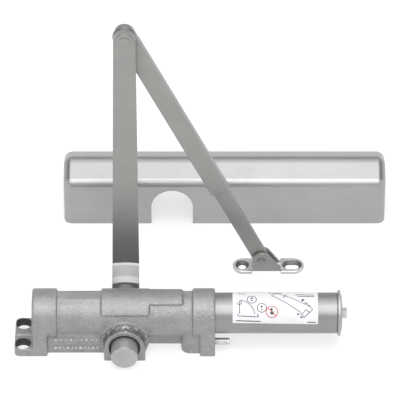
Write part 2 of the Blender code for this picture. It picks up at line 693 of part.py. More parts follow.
def make_shoe_pin():
    front = PIVOT.y - EAR_OUTER_Y - GAP
    rear = PIVOT.y + EAR_OUTER_Y + GAP
    profile = [(0, front - 0.0008), (0.0042, front - 0.0008), (0.0046, front), (SHOE_PIN_R, front),
               (SHOE_PIN_R, rear), (0.0046, rear), (0.0042, rear + 0.0008), (0, rear + 0.0008)]
    turned("shoe_pivot_pin", profile, "Y", (PIVOT.x, PIVOT.z), "steel", 24)


def cover_section(inset, foot):
    """The cover's cross-section: upright sides, rounded shoulders and a low gable."""
    middle = (COVER_Y[0] + COVER_Y[1]) / 2
    half = (COVER_Y[1] - COVER_Y[0]) / 2 - inset
    slope = math.atan2(RIDGE_Z - SHOULDER_Z, (COVER_Y[1] - COVER_Y[0]) / 2)
    ridge = RIDGE_Z - inset / math.cos(slope)
    shoulder = ridge - half * math.tan(slope)
    radius = SHOULDER_R - inset
    centre_z = shoulder - radius * math.tan((math.pi / 2 - slope) / 2)
    right = arc((middle + half - radius, centre_z), radius, 0, 90 - math.degrees(slope), 5)
    left = arc((middle - half + radius, centre_z), radius, 90 + math.degrees(slope), 180, 5)
    return [(middle + half, foot)] + right + [(middle, ridge)] + left + [(middle - half, foot)]


def cover_plan(inset):
    radius = COVER_END_R - inset
    low_x, high_x = COVER_X[0] + inset + radius, COVER_X[1] - inset - radius
    low_y, high_y = COVER_Y[0] + inset + radius, COVER_Y[1] - inset - radius
    outline = arc((high_x, high_y), radius, 0, 90, 6) + arc((low_x, high_y), radius, 90, 180, 6)
    outline += arc((low_x, low_y), radius, 180, 270, 6) + arc((high_x, low_y), radius, 270, 360, 6)
    return outline


def make_cover():
    beyond = 0.01
    shell = prism("cover", cover_plan(0), "Z", (0, RIDGE_Z + beyond), "cover_finish")
    outer_span = (COVER_X[0] - beyond, COVER_X[1] + beyond)
    combine(shell, prism("cover_top_shape", cover_section(0, -beyond), "X", outer_span), "INTERSECT")
    inner = prism("cover_hollow_shape", cover_plan(COVER_WALL), "Z", (-beyond, RIDGE_Z + beyond))
    top = prism("cover_hollow_top_shape", cover_section(COVER_WALL, -2 * beyond), "X", outer_span)
    combine(inner, top, "INTERSECT")
    outline = arc((ARCH_X, ARCH_Z), ARCH_R, 0, 180, 24) + [(ARCH_X - ARCH_R, -beyond), (ARCH_X + ARCH_R, -beyond)]
    arch = prism("arch_cutter", outline, "Y", (COVER_Y[0] - beyond, COVER_Y[1] + beyond))
    cut(shell, inner, arch)


def make_label():
    inner = TUBE_R + GAP
    outline = arc((0, AXIS_Z), inner + LABEL_T, 180 - LABEL_ANGLES[0], 180 - LABEL_ANGLES[1], 28)
    outline += arc((0, AXIS_Z), inner, 180 - LABEL_ANGLES[1], 180 - LABEL_ANGLES[0], 28)
    prism("instruction_label", outline, "X", LABEL_X, "label_paper")


def hang_on_axis(tag, place, names):
    """Parent the pieces that move together to an empty on their joint's axis."""
    empty = bpy.data.objects.new(tag + "_axis", None)
    empty.location = place
    bpy.context.scene.collection.objects.link(empty)
    for name in names:
        piece = bpy.data.objects[name]
        piece.parent = empty
        piece.matrix_parent_inverse = Matrix.Translation(-Vector(place))


def hang_moving_pieces():
    bore = (0, 0, AXIS_Z)
    hang_on_axis("pinion", (0, 0, PINION_Z),
                 ("pinion_shaft", "main_arm", "arm_screw", "arm_washer", "elbow_pin", "elbow_washer"))
    hang_on_axis("piston", bore, ("piston", "piston_seal_ring", "check_ball"))
    hang_on_axis("shoe", PIVOT, ("shoe_bracket", "shoe_pivot_pin"))
    hang_on_axis("power_screw", bore, ("power_screw", "spring_seat"))
    hang_on_axis("cover", ((COVER_X[0] + COVER_X[1]) / 2, (COVER_Y[0] + COVER_Y[1]) / 2, 0), ("cover",))
    for name, x in VALVES.items():
        hang_on_axis(name, (x, 0, AXIS_Z), (name,))


clear_scene()
MATERIALS = {name: make_material(name) for name in FINISHES}
make_cylinder_body()
make_spring_tube()
make_tube_end_cap()
make_power_screw()
make_spring_seat()
make_closing_spring()
make_piston()
make_pinion_shaft()
make_pinion_trim()
make_seals_and_plug()
make_valve_screws()
make_anchor_stud()
make_main_arm()
make_arm_fasteners()
make_forearm_tube()
make_forearm_rod()
make_lock_screws()
make_shoe_bracket()
make_shoe_pin()
make_cover()
make_label()
hang_moving_pieces()
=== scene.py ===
import math
import bmesh
import bpy
from mathutils import Matrix, Vector


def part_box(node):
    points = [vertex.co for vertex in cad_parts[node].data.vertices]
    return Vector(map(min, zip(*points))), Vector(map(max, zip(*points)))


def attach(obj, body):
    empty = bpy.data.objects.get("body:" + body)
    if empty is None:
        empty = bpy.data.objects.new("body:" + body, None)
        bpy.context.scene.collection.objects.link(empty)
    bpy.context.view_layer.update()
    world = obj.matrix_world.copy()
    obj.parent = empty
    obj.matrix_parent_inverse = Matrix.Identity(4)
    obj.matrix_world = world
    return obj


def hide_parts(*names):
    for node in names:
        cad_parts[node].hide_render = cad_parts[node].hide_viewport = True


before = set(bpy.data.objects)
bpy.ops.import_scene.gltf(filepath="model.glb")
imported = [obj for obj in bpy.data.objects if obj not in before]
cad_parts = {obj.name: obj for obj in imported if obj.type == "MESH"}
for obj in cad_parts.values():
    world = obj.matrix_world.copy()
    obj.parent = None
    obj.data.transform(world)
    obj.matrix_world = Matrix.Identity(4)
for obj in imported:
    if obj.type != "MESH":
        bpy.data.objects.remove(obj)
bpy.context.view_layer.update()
print("frame loaded")

# Helpers for shapes. A shape is drawn flat or turned on local Z, then laid along a world axis.
layAlong = {
    "X": Matrix(((0, 0, 1, 0), (1, 0, 0, 0), (0, 1, 0, 0), (0, 0, 0, 1))),
    "Y": Matrix(((1, 0, 0, 0), (0, 0, 1, 0), (0, 1, 0, 0), (0, 0, 0, 1))),
    "Z": Matrix.Identity(4),
}


def middleOf(node):
    low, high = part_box(node)
    return (Vector(low) + Vector(high)) / 2


def arcPoints(centre, radius, start, end, steps=12):
    turns = [math.radians(start + (end - start) * i / steps) for i in range(steps + 1)]
    return [(centre[0] + radius * math.cos(t), centre[1] + radius * math.sin(t)) for t in turns]


def box2d(lowU, highU, lowV, highV):
    return [(lowU, lowV), (highU, lowV), (highU, highV), (lowU, highV)]


def slotPoints(centre, half, radius, steps=20):
    right = arcPoints((centre[0] + half, centre[1]), radius, -90, 90, steps)
    return right + arcPoints((centre[0] - half, centre[1]), radius, 90, 270, steps)


def slab(outline, axis, low, high):
    bm = bmesh.new()
    face = bm.faces.new([bm.verts.new((u, v, low)) for u, v in outline])
    grown = bmesh.ops.extrude_face_region(bm, geom=[face])["geom"]
    moved = [v for v in grown if isinstance(v, bmesh.types.BMVert)]
    bmesh.ops.translate(bm, verts=moved, vec=(0, 0, high - low))
    bmesh.ops.transform(bm, matrix=layAlong[axis], verts=bm.verts)
    bmesh.ops.recalc_face_normals(bm, faces=bm.faces)
    return bm


def lathe(profile, axis, centre=(0, 0), steps=96):
    bm = bmesh.new()
    points = [bm.verts.new((radius, 0, along)) for radius, along in profile]
    edges = [bm.edges.new(pair) for pair in zip(points, points[1:])]
    if min(radius for radius, along in profile) > 0:
        edges.append(bm.edges.new((points[-1], points[0])))
    bmesh.ops.spin(bm, geom=points + edges, cent=(0, 0, 0), axis=(0, 0, 1),
                   angle=math.tau, steps=steps, use_merge=True)
    bmesh.ops.remove_doubles(bm, verts=bm.verts, dist=1e-6)
    bmesh.ops.translate(bm, verts=bm.verts, vec=(centre[0], centre[1], 0))
    bmesh.ops.transform(bm, matrix=layAlong[axis], verts=bm.verts)
    bmesh.ops.recalc_face_normals(bm, faces=bm.faces)
    return bm


def rod(radius, axis, centre, low, high, steps=64):
    return lathe([(0, low), (radius, low), (radius, high), (0, high)], axis, centre, steps)


def soften(bm, width, segments=3, angle=40):
    sharp = [e for e in bm.edges if e.is_manifold and e.calc_face_angle() > math.radians(angle)]
    bmesh.ops.bevel(bm, geom=sharp, offset=width, offset_type="OFFSET", segments=segments,
                    profile=0.5, affect="EDGES", clamp_overlap=True, material=-1)
    return bm


def gather(name, shapes):
    together = bmesh.new()
    for shape in shapes:
        part = bpy.data.meshes.new(name)
        shape.to_mesh(part)
        shape.free()
        together.from_mesh(part)
        bpy.data.meshes.remove(part)
    mesh = bpy.data.meshes.new(name)
    together.to_mesh(mesh)
    together.free()
    piece = bpy.data.objects.new(name, mesh)
    bpy.context.scene.collection.objects.link(piece)
    return piece


def settle(piece):
    graph = bpy.context.evaluated_depsgraph_get()
    mesh = bpy.data.meshes.new_from_object(piece.evaluated_get(graph))
    piece.modifiers.clear()
    piece.data = mesh
    return piece


def combine(piece, tool, operation, material=None):
    if material:
        tool.data.materials.append(material)
    modifier = piece.modifiers.new("combine", "BOOLEAN")
    modifier.operation = operation
    modifier.solver = "MANIFOLD"
    modifier.material_mode = "TRANSFER" if material else "INDEX"
    modifier.object = tool
    settle(piece)
    bpy.data.objects.remove(tool, do_unlink=True)
    return piece


def carve(piece, shapes, material=None):
    return combine(piece, gather("carver", shapes), "DIFFERENCE", material)


def castFrom(piece, voxel, rounds):
    remesh = piece.modifiers.new("remesh", "REMESH")
    remesh.mode = "VOXEL"
    remesh.voxel_size = voxel
    smooth = piece.modifiers.new("smooth", "SMOOTH")
    smooth.factor = 0.5
    smooth.iterations = rounds
    return settle(piece)


def sliceAlong(bm, axis, places, reach=1e-7):
    # Cuts a sheet across one world axis at each place, so that it can be bent there
    normal = Vector([float(name == axis) for name in "XYZ"])
    for place in places:
        everything = bm.verts[:] + bm.edges[:] + bm.faces[:]
        bmesh.ops.bisect_plane(bm, geom=everything, dist=reach, plane_co=normal * place, plane_no=normal)


def polish(piece, width, segments=3, angle=35):
    piece.data.shade_smooth()
    bevel = piece.modifiers.new("edges", "BEVEL")
    bevel.width = width
    bevel.segments = segments
    bevel.limit_method = "ANGLE"
    bevel.angle_limit = math.radians(angle)
    bevel.miter_outer = "MITER_ARC"
    evened = piece.modifiers.new("evened", "WEIGHTED_NORMAL")
    evened.keep_sharp = True
    return settle(piece)


def dress(piece, about, paint, angle=38):
    if paint:
        piece.data.materials.clear()
        piece.data.materials.append(paint)
    if not piece.data.has_custom_normals:
        piece.data.shade_smooth()
        piece.data.set_sharp_from_angle(angle=math.radians(angle))
    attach(piece, about["body"])
    if about["nodes"]:
        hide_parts(*about["nodes"])
    return piece


# Finishes. Patch, grain, fleck and relief sizes are counts per metre, relief depths are in metres.
mixing = {
    "noiseRough": 0.6, "patchDetail": 4, "grainDetail": 3, "fineDetail": 2,
    "tintFrom": (0.45, 1.05), "fleckFrom": (0.54, 0.72), "roughFrom": (0.3, 0.7),
}


def coating(name, look):
    material = bpy.data.materials.new(name)
    material.use_nodes = True
    nodes = material.node_tree.nodes
    links = material.node_tree.links
    shader = nodes["Principled BSDF"]
    where = nodes.new("ShaderNodeTexCoord")
    lay = nodes.new("ShaderNodeMapping")
    lay.inputs["Scale"].default_value = look.get("stretch", (1, 1, 1))
    links.new(where.outputs["Object"], lay.inputs["Vector"])

    def noise(scale, detail, source):
        cloud = nodes.new("ShaderNodeTexNoise")
        cloud.inputs["Scale"].default_value = scale
        cloud.inputs["Detail"].default_value = detail
        cloud.inputs["Roughness"].default_value = mixing["noiseRough"]
        links.new(source, cloud.inputs["Vector"])
        return cloud.outputs["Fac"]

    def remap(source, fromSpan, toSpan=(0, 1)):
        ramp = nodes.new("ShaderNodeMapRange")
        ramp.inputs["From Min"].default_value, ramp.inputs["From Max"].default_value = fromSpan
        ramp.inputs["To Min"].default_value, ramp.inputs["To Max"].default_value = toSpan
        links.new(source, ramp.inputs["Value"])
        return ramp.outputs["Result"]

    def mixTowards(colour, share):
        mix = nodes.new("ShaderNodeMix")
        mix.data_type = "RGBA"
        mix.inputs["B"].default_value = (*colour, 1)
        links.new(share, mix.inputs["Factor"])
        return mix

    patch = noise(look["patch"], mixing["patchDetail"], where.outputs["Object"])
    grain = noise(look["grain"], mixing["grainDetail"], lay.outputs["Vector"])
    blend = nodes.new("ShaderNodeMath")
    blend.operation = "MULTIPLY_ADD"
    blend.inputs[1].default_value = look.get("grainShare", 0.5)
    links.new(grain, blend.inputs[0])
    links.new(patch, blend.inputs[2])
    tint = mixTowards(look["light"], remap(blend.outputs[0], mixing["tintFrom"]))
    tint.inputs["A"].default_value = (*look["dark"], 1)
    colour = tint.outputs["Result"]
    if look.get("fleck"):
        specks = noise(look["flecks"], mixing["fineDetail"], where.outputs["Object"])
        dots = mixTowards(look["fleck"], remap(specks, mixing["fleckFrom"]))
        links.new(colour, dots.inputs["A"])
        colour = dots.outputs["Result"]
    links.new(colour, shader.inputs["Base Color"])
    links.new(remap(grain, mixing["roughFrom"], look["rough"]), shader.inputs["Roughness"])
    bump = nodes.new("ShaderNodeBump")
    bump.inputs["Distance"].default_value = look["depth"]
    bump.inputs["Strength"].default_value = 1
    relief = noise(look["relief"], mixing["fineDetail"], lay.outputs["Vector"])
    links.new(relief, bump.inputs["Height"])
    links.new(bump.outputs["Normal"], shader.inputs["Normal"])
    shader.inputs["Metallic"].default_value = look["metallic"]
    return material


looks = {
    "castingPaint": {"dark": (0.235, 0.235, 0.233), "light": (0.335, 0.335, 0.332), "patch": 60, "grain": 900,
                     "rough": (0.30, 0.48), "metallic": 0.6, "relief": 640, "depth": 0.0007,
                     "fleck": (0.365, 0.365, 0.37), "flecks": 460},
    # Painted shade: a darker copy of the casting paint, put in the hollow round each pinion boss
    "castingPaintedShade": {"dark": (0.12, 0.12, 0.118), "light": (0.20, 0.20, 0.198), "patch": 120, "grain": 900,
                     "rough": (0.34, 0.52), "metallic": 0.6, "relief": 640, "depth": 0.0005,
                     "fleck": (0.50, 0.50, 0.51), "flecks": 380},
    "capPaint": {"dark": (0.33, 0.33, 0.328), "light": (0.42, 0.42, 0.418), "patch": 60, "grain": 900,
                 "rough": (0.30, 0.42), "metallic": 0.6, "relief": 900, "depth": 0.00012},
    # Painted highlight: a light paint for the raised foundry marks
    "marksPaintedHighlight": {"dark": (0.46, 0.46, 0.46), "light": (0.66, 0.66, 0.66), "patch": 300, "grain": 900,
                    "rough": (0.26, 0.40), "metallic": 0.7, "relief": 900, "depth": 0.0001},
    "machined": {"dark": (0.42, 0.42, 0.42), "light": (0.56, 0.56, 0.55), "patch": 80, "grain": 1500,
                 "rough": (0.25, 0.42), "metallic": 0.9, "relief": 1500, "depth": 0.00004},
    "tubePaint": {"dark": (0.27, 0.270, 0.267), "light": (0.33, 0.330, 0.327), "patch": 30, "grain": 1200,
                  "stretch": (0.25, 1, 1), "rough": (0.34, 0.42), "metallic": 0.8, "relief": 900,
                  "depth": 0.00003},
    "armPaint": {"dark": (0.275, 0.272, 0.262), "light": (0.315, 0.312, 0.300), "patch": 40, "grain": 1500,
                 "rough": (0.30, 0.38), "metallic": 0.7, "relief": 900, "depth": 0.00006},
    "coverSilver": {"dark": (0.325, 0.324, 0.320), "light": (0.385, 0.384, 0.380), "patch": 18, "grain": 900,
                    "stretch": (0.06, 1, 1), "rough": (0.30, 0.37), "metallic": 0.85, "relief": 1300,
                    "depth": 0.00002, "grainShare": 0.7},
    "zinc": {"dark": (0.50, 0.50, 0.50), "light": (0.72, 0.72, 0.72), "patch": 260, "grain": 1400,
             "rough": (0.30, 0.44), "metallic": 0.95, "relief": 900, "depth": 0.00005},
    "steel": {"dark": (0.24, 0.24, 0.24), "light": (0.34, 0.34, 0.34), "patch": 120, "grain": 1600,
              "rough": (0.28, 0.42), "metallic": 1.0, "relief": 1500, "depth": 0.00003},
    "springSteel": {"dark": (0.10, 0.11, 0.13), "light": (0.17, 0.18, 0.21), "patch": 150, "grain": 1300,
                    "rough": (0.34, 0.46), "metallic": 1.0, "relief": 1500, "depth": 0.00002},
    "bronze": {"dark": (0.46, 0.30, 0.14), "light": (0.60, 0.42, 0.22), "patch": 130, "grain": 1300,
               "rough": (0.30, 0.42), "metallic": 1.0, "relief": 1300, "depth": 0.00002},
    "rubber": {"dark": (0.018, 0.018, 0.018), "light": (0.035, 0.035, 0.035), "patch": 150, "grain": 1500,
               "rough": (0.60, 0.78), "metallic": 0.0, "relief": 1800, "depth": 0.00004},
    # Painted shade: a near-black paint for the walls of the mounting ear holes
    "holeWallPaintedShade": {"dark": (0.020, 0.020, 0.020), "light": (0.070, 0.070, 0.068), "patch": 300, "grain": 1500,
                "rough": (0.65, 0.85), "metallic": 0.0, "relief": 900, "depth": 0.0001},
    # Painted shade: a darker copy of the zinc for the walls of the bracket's holes and countersinks
    "zincPaintedShade": {"dark": (0.08, 0.08, 0.08), "light": (0.17, 0.17, 0.17), "patch": 260, "grain": 1400,
                 "rough": (0.45, 0.60), "metallic": 0.5, "relief": 900, "depth": 0.00005},
    "labelPaper": {"dark": (0.66, 0.66, 0.67), "light": (0.72, 0.72, 0.73), "patch": 35, "grain": 900,
                   "rough": (0.42, 0.52), "metallic": 0.0, "relief": 700, "depth": 0.00001},
    "blackInk": {"dark": (0.02, 0.02, 0.022), "light": (0.06, 0.06, 0.065), "patch": 300, "grain": 2500,
                 "rough": (0.45, 0.60), "metallic": 0.0, "relief": 1500, "depth": 0.00001},
    "redInk": {"dark": (0.42, 0.05, 0.05), "light": (0.55, 0.09, 0.08), "patch": 300, "grain": 2500,
               "rough": (0.45, 0.60), "metallic": 0.0, "relief": 1500, "depth": 0.00001},
}
paints = {name: coating(name, look) for name, look in looks.items()}
print("finishes made")

pinion = middleOf("pinion_cap")
bore = middleOf("spring_tube")
pinionAt = (pinion.x, pinion.z)
boreAt = (bore.y, bore.z)

# Casting: body, mounting ear and pinion bosses. Lengths in metres.
casting = {
    "body": "closer_body", "slot": "casting_paint", "nodes": ["cylinder_body"],
    "barrel": 0.0206, "block": 0.0231, "bore": 0.0155, "round": 0.0030, "under": 0.005,
    "blockX": (-0.0859, -0.0718, -0.0630), "earX": -0.1027, "earTop": 0.0082, "earCorner": 0.005,
    "ribHalf": 0.0026, "ribTop": 0.0092, "earHole": (-0.0949, 0.0142, 0.0069),
    "webHalf": 0.0179, "rightWebHalf": 0.005, "webTop": 0.024,
    "flangeX": (0.0632, 0.0700, 0.0840), "flangeEdge": 0.001, "footHalf": 0.0233,
    "heel": (0.0526, 0.019, 0.008),
    "pad": 0.0229, "padX": (-0.0214, 0.0230, 0.0540), "padAngles": (33, 60),
    "flatTurn": 84, "flatOut": 0.0209, "flatAcross": (-0.0030, 0.0081), "flatDeep": 0.8,
    "bossFace": 0.0293, "bossRoot": (0.018, 0.0225), "bossRadius": 0.0186, "soleHalf": 0.0192,
    "bossRim": 0.0005, "bossDraft": (0.0006, 0.0050),
    "recess": (0.0148, 0.0263), "crossBore": 0.012, "socket": (0.0660, 0.01935),
    "valves": (-0.0780, -0.0480, 0.0480), "valveRadius": 0.0027, "valveDepth": (0.012, 0.030),
    "stud": (-0.0135, 0.0103, 0.0036), "studX": (0.0757, 0.09), "rimChamfer": (0.0016, 0.0008),
    "overlap": 0.001, "beyond": 0.05, "voxel": 0.00075, "smoothing": 3,
    "soft": {"block": 0.0018, "foot": 0.0010, "ear": 0.0012, "rib": 0.0006, "web": 0.0008, "pad": 0.0005,
             "sole": 0.0012},
}


def domePoints(radius, half, under):
    return arcPoints(boreAt, radius, 0, 180, 40) + [(-half, -under), (half, -under)]


def padShape(radius, angle, low, high):
    outline = arcPoints(boreAt, radius, angle, 180 - angle, 30)
    outline += arcPoints(boreAt, casting["bore"] + 2 * casting["overlap"], 180 - angle, angle, 10)
    return soften(slab(outline, "X", low, high), casting["soft"]["pad"], 2)


def neckFlat(c, low, high):
    # A flat on top of the neck, leaning a little towards the pinion cap
    turn = math.radians(c["flatTurn"])
    out = Vector((-math.cos(turn), math.sin(turn)))
    along = Vector((math.sin(turn), math.cos(turn)))
    centre = Vector(boreAt)
    near, far = (centre + out * c["flatOut"] + along * t for t in c["flatAcross"])
    inner = [centre + (corner - centre) * c["flatDeep"] for corner in (far, near)]
    return soften(slab([near, far] + inner, "X", low, high), c["soft"]["pad"], 2)


def roundedEnd(left, half, corner, right):
    # A plate in plan, square at the right and with both left corners rounded
    across, side = left + corner, half - corner
    outline = arcPoints((across, side), corner, 90, 180) + arcPoints((across, -side), corner, 180, 270)
    return outline + [(right, -half), (right, half)]


def castingShapes(c):
    under, over, soft = c["under"], c["overlap"], c["soft"]
    x0, x1, x2 = c["blockX"]
    f0, f1, f2 = c["flangeX"]
    nose = arcPoints((c["block"] - c["round"], x0 + c["round"]), c["round"], -90, 0, 6)
    profile = [(0, x0)] + nose
    profile += [(c["block"], x2), (c["barrel"], x2), (c["barrel"], f0), (c["block"], f0),
                (c["block"], f2 - c["flangeEdge"]), (c["block"] - c["flangeEdge"], f2), (0, f2)]
    yield lathe(profile, "X", boreAt, 96)
    dome = c["block"] - 0.0001
    yield soften(slab(domePoints(dome, c["block"], under), "X", x0, x1), soft["block"])
    yield soften(slab(domePoints(dome, c["footHalf"], under), "X", f1, f2), soft["foot"])
    ear = roundedEnd(c["earX"], c["block"], c["earCorner"], x0 + 4 * over)
    yield soften(slab(ear, "Z", -under, c["earTop"]), soft["ear"])
    rib = box2d(c["earX"] + soft["rib"], x0 + 2 * over, -c["ribHalf"], c["ribHalf"])
    yield soften(slab(rib, "Z", 2 * over, c["ribTop"]), soft["rib"])
    for left, right, half in ((x1 - over, 0, c["webHalf"]), (0, f0, c["rightWebHalf"])):
        yield soften(slab(box2d(left, right, -half, half), "Z", -under, c["webTop"]), soft["web"])
    heelX, heelHalf, heelCorner = c["heel"]
    heel = roundedEnd(heelX, heelHalf, heelCorner, f1 + 2 * over)
    yield soften(slab(heel, "Z", -under, c["webTop"]), soft["foot"])
    p0, p1, p2 = c["padX"]
    yield padShape(c["pad"], c["padAngles"][0], p0, p1)
    yield padShape(c["pad"], c["padAngles"][1], p1 - over, p2)
    yield neckFlat(c, x2 - over, p0 + over)
    yield neckFlat(c, p2 - over, f0 + over)
    rootY, rootR = c["bossRoot"]
    face, rim, lip = c["bossFace"], c["bossRadius"], c["bossRim"]
    widen, deep = c["bossDraft"]
    side = [(rim - lip, face), (rim, face - lip), (rim + widen, face - deep)]
    hollow = rootR - rim - widen
    for i in range(1, 7):
        turn = math.radians(15 * i)
        side.append((rim + widen + hollow * (1 - math.cos(turn)), face - deep - hollow * math.sin(turn)))
    side.append((rootR, rootY - 0.003))
    cone = [(0, -face)] + [(r, -y) for r, y in side] + [(r, y) for r, y in reversed(side)] + [(0, face)]
    yield lathe(cone, "Y", pinionAt, 96)
    sole = box2d(-c["soleHalf"], c["soleHalf"], -under, pinion.z)
    yield soften(slab(sole, "Y", -face, face), soft["sole"])


def earHoles(c):
    x, y, radius = c["earHole"]
    out, drop = c["rimChamfer"]
    top, wide = c["earTop"], radius + out
    rim = [(0, -0.02), (radius, -0.02), (radius, top - drop), (wide, top + drop), (wide, 0.02), (0, 0.02)]
    for side in (-1, 1):
        yield lathe(rim, "Z", (x, side * y), 64)


def holeShapes(c):
    sy, sz, sr = c["stud"]
    yield rod(sr, "X", (sy, sz), *c["studX"], 32)
    for x in c["valves"]:
        yield rod(c["valveRadius"], "Y", (x, bore.z), *c["valveDepth"], 32)


def makeCasting(c):
    piece = castFrom(gather("castBody", castingShapes(c)), c["voxel"], c["smoothing"])
    piece.data.materials.append(paints["castingPaint"])
    piece.data.materials.append(paints["castingPaintedShade"])
    # The hollow round each pinion boss gets painted shade: a darker copy of the casting paint stands in for
    # the shade there
    rootY, rootR = c["bossRoot"]
    margin = 0.0008
    for face in piece.data.polygons:
        x, y, z = face.center
        ring = math.hypot(x - pinion.x, z - pinion.z)
        onSide = rootY + 0.001 < abs(y) < c["bossFace"] - margin and z > pinion.z - 0.003
        face.material_index = int(onSide and ring < rootR - margin)
    far = c["beyond"]
    carve(piece, [slab(box2d(-4 * far, 4 * far, -2 * far, 2 * far), "Z", -far, 0)], paints["machined"])
    socketX, socketR = c["socket"]
    left, right = c["blockX"][0] - far, c["flangeX"][2] + far
    through = [(0, left), (c["bore"], left), (c["bore"], socketX), (socketR, socketX), (socketR, right),
               (0, right)]
    carve(piece, [lathe(through, "X", boreAt, 128)], paints["machined"])
    recessR, recessY = c["recess"]
    cross = [(0, -far), (recessR, -far), (recessR, -recessY), (c["crossBore"], -recessY),
             (c["crossBore"], recessY), (recessR, recessY), (recessR, far), (0, far)]
    carve(piece, [lathe(cross, "Y", pinionAt, 96)], paints["machined"])
    # The ear hole walls get near-black painted shade
    carve(piece, earHoles(c), paints["holeWallPaintedShade"])
    carve(piece, holeShapes(c), paints["machined"])
    return dress(piece, c, None)


cast = makeCasting(casting)
print("casting made", len(cast.data.polygons))

# Plain raised foundry marks on the web: dots, bars and ticks that say nothing. They carry a painted
# highlight: a paint lighter than the casting
marks = {
    "body": "closer_body", "slot": "casting_paint", "nodes": [],
    "rows": ((0.0165, 0.0030, 9), (0.0068, 0.0034, 11)), "from": -0.0665, "to": -0.0235, "face": -0.0179,
    "stand": 0.0012, "sunk": 0.001, "leans": (-20, 15, 90), "dot": 0.42, "stroke": 0.16,
    "side": (0.0400, -0.0050, 0.0165), "sideGap": 0.0014, "sideHalf": (0.0008, 0.0012), "soft": 0.0002,
}


def makeMarks(m):
    shapes = []
    out, sunk = m["face"] - m["stand"], m["face"] + m["sunk"]
    for height, size, count in m["rows"]:
        for i in range(count):
            x = m["from"] + (m["to"] - m["from"]) * (i + 0.5) / count
            if i % 3 == 0:
                shapes.append(rod(size * m["dot"], "Y", (x, height), out, sunk, 16))
                continue
            lean = math.radians(m["leans"][(i * 2 + count) % 3])
            half = size * m["stroke"]
            stroke = slab(box2d(-half, half, -size / 2, size / 2), "Y", out, sunk)
            turn = Matrix.Translation((x, 0, height)) @ Matrix.Rotation(lean, 4, "Y")
            bmesh.ops.transform(stroke, matrix=turn, verts=stroke.verts)
            shapes.append(stroke)
    x, y, z = m["side"]
    wide, tall = m["sideHalf"]
    for step in (-m["sideGap"], m["sideGap"]):
        outline = box2d(x + step - wide, x + step + wide, z - tall, z + tall)
        shapes.append(slab(outline, "Y", y - m["stand"], y + m["sunk"]))
    piece = gather("foundryMarks", [soften(shape, m["soft"], 2) for shape in shapes])
    # The marks get the light paint as a painted highlight
    return dress(piece, m, paints["marksPaintedHighlight"])


makeMarks(marks)

# Spring tube, its end cap, the power screw and the stud
tube = {
    "body": "closer_body", "slot": "tube_paint", "nodes": ["spring_tube"],
    "inner": 0.0173, "edge": 0.0004,
}
endCap = {
    "body": "closer_body", "slot": "tube_paint", "nodes": ["tube_end_cap"],
    "screwHole": 0.0041, "spigot": 0.0170, "collar": 0.0213, "collarLength": 0.0026, "back": 0.0046,
    "lip": 0.0006, "groove": (0.0016, 0.0018, 0.0026), "grooveDeep": 0.0003,
    "domeIn": 0.0029, "domeTop": 0.0085, "boss": 0.0080, "bossEdge": 0.0004,
}
powerScrew = {
    "body": "power_screw", "slot": "zinc_plate", "nodes": ["power_screw"],
    "shank": 0.0037, "flats": 0.0089, "headLength": 0.0038,
}
stud = {
    "body": "closer_body", "slot": "zinc_plate", "nodes": ["anchor_stud"],
    "radius": 0.0033, "chamfer": 0.0006, "groove": 0.00018, "grooves": 7, "grooveHalf": 0.0004,
    "grooveStart": 0.0838, "plainEnd": 0.0030,
}


def makeTube(t):
    low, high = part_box("spring_tube")
    radius = (high[2] - low[2]) / 2
    edge = t["edge"]
    profile = [(t["inner"], low[0]), (radius - edge, low[0]), (radius, low[0] + edge),
               (radius, high[0] - edge), (radius - edge, high[0]), (t["inner"], high[0])]
    return dress(polish(gather("springTube", [lathe(profile, "X", boreAt, 160)]), 0.0001, 1, 60),
                 t, paints["tubePaint"])


def makeEndCap(e):
    low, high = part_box("tube_end_cap")
    face = high[0] - e["back"]
    rim = face + e["collarLength"]
    lip, collar, deep = e["lip"], e["collar"], e["grooveDeep"]
    profile = [(e["screwHole"], low[0]), (e["spigot"], low[0]), (e["spigot"], face), (collar - lip, face)]
    profile += arcPoints((collar - lip, face + lip), lip, -90, 0, 4)
    profile += arcPoints((collar - lip, rim - lip), lip, 0, 90, 4)
    g0, g1, g2 = e["groove"]
    profile += [(collar - g0, rim), (collar - g1, rim - deep), (collar - g2, rim - deep)]
    start = collar - e["domeIn"]
    for i in range(13):
        share = i / 12
        bow = math.sqrt(1 - (1 - share) ** 2)
        profile.append((start + (e["domeTop"] - start) * share, rim + 0.0001 + (high[0] - rim - deep) * bow))
    profile += [(e["boss"], high[0] - 0.0001), (e["screwHole"] + e["bossEdge"], high[0]),
                (e["screwHole"], high[0] - e["bossEdge"])]
    piece = gather("tubeEndCap", [lathe(profile, "X", boreAt, 128)])
    return dress(polish(piece, 0.00005, 1, 70), e, paints["capPaint"])


def hexHead(axis, centre, flats, low, high):
    # A hexagon with its corners turned off towards the top
    corner, flat, spare = flats / math.sqrt(3), flats / 2 + 0.0001, 0.0001
    head = gather("head", [slab(arcPoints(centre, corner, 0, 300, 5), axis, low, high)])
    profile = [(0, low), (corner + spare, low), (corner + spare, high - (corner - flat) * 0.6), (flat, high),
               (0, high)]
    return combine(head, gather("dome", [lathe(profile, axis, centre, 72)]), "INTERSECT")


def hexScrew(name, axis, centre, s, head, shank, steps=48):
    screw = hexHead(axis, centre, s["flats"], *head)
    combine(screw, gather("shank", [rod(s["shank"], axis, centre, *shank, steps)]), "UNION")
    screw.name = name
    return polish(screw, 0.00012, 2)


def makePowerScrew(s):
    low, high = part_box("power_screw")
    head, shank = (high[0] - s["headLength"], high[0]), (low[0], high[0] - 0.001)
    return dress(hexScrew("powerScrew", "X", boreAt, s, head, shank), s, paints["zinc"])


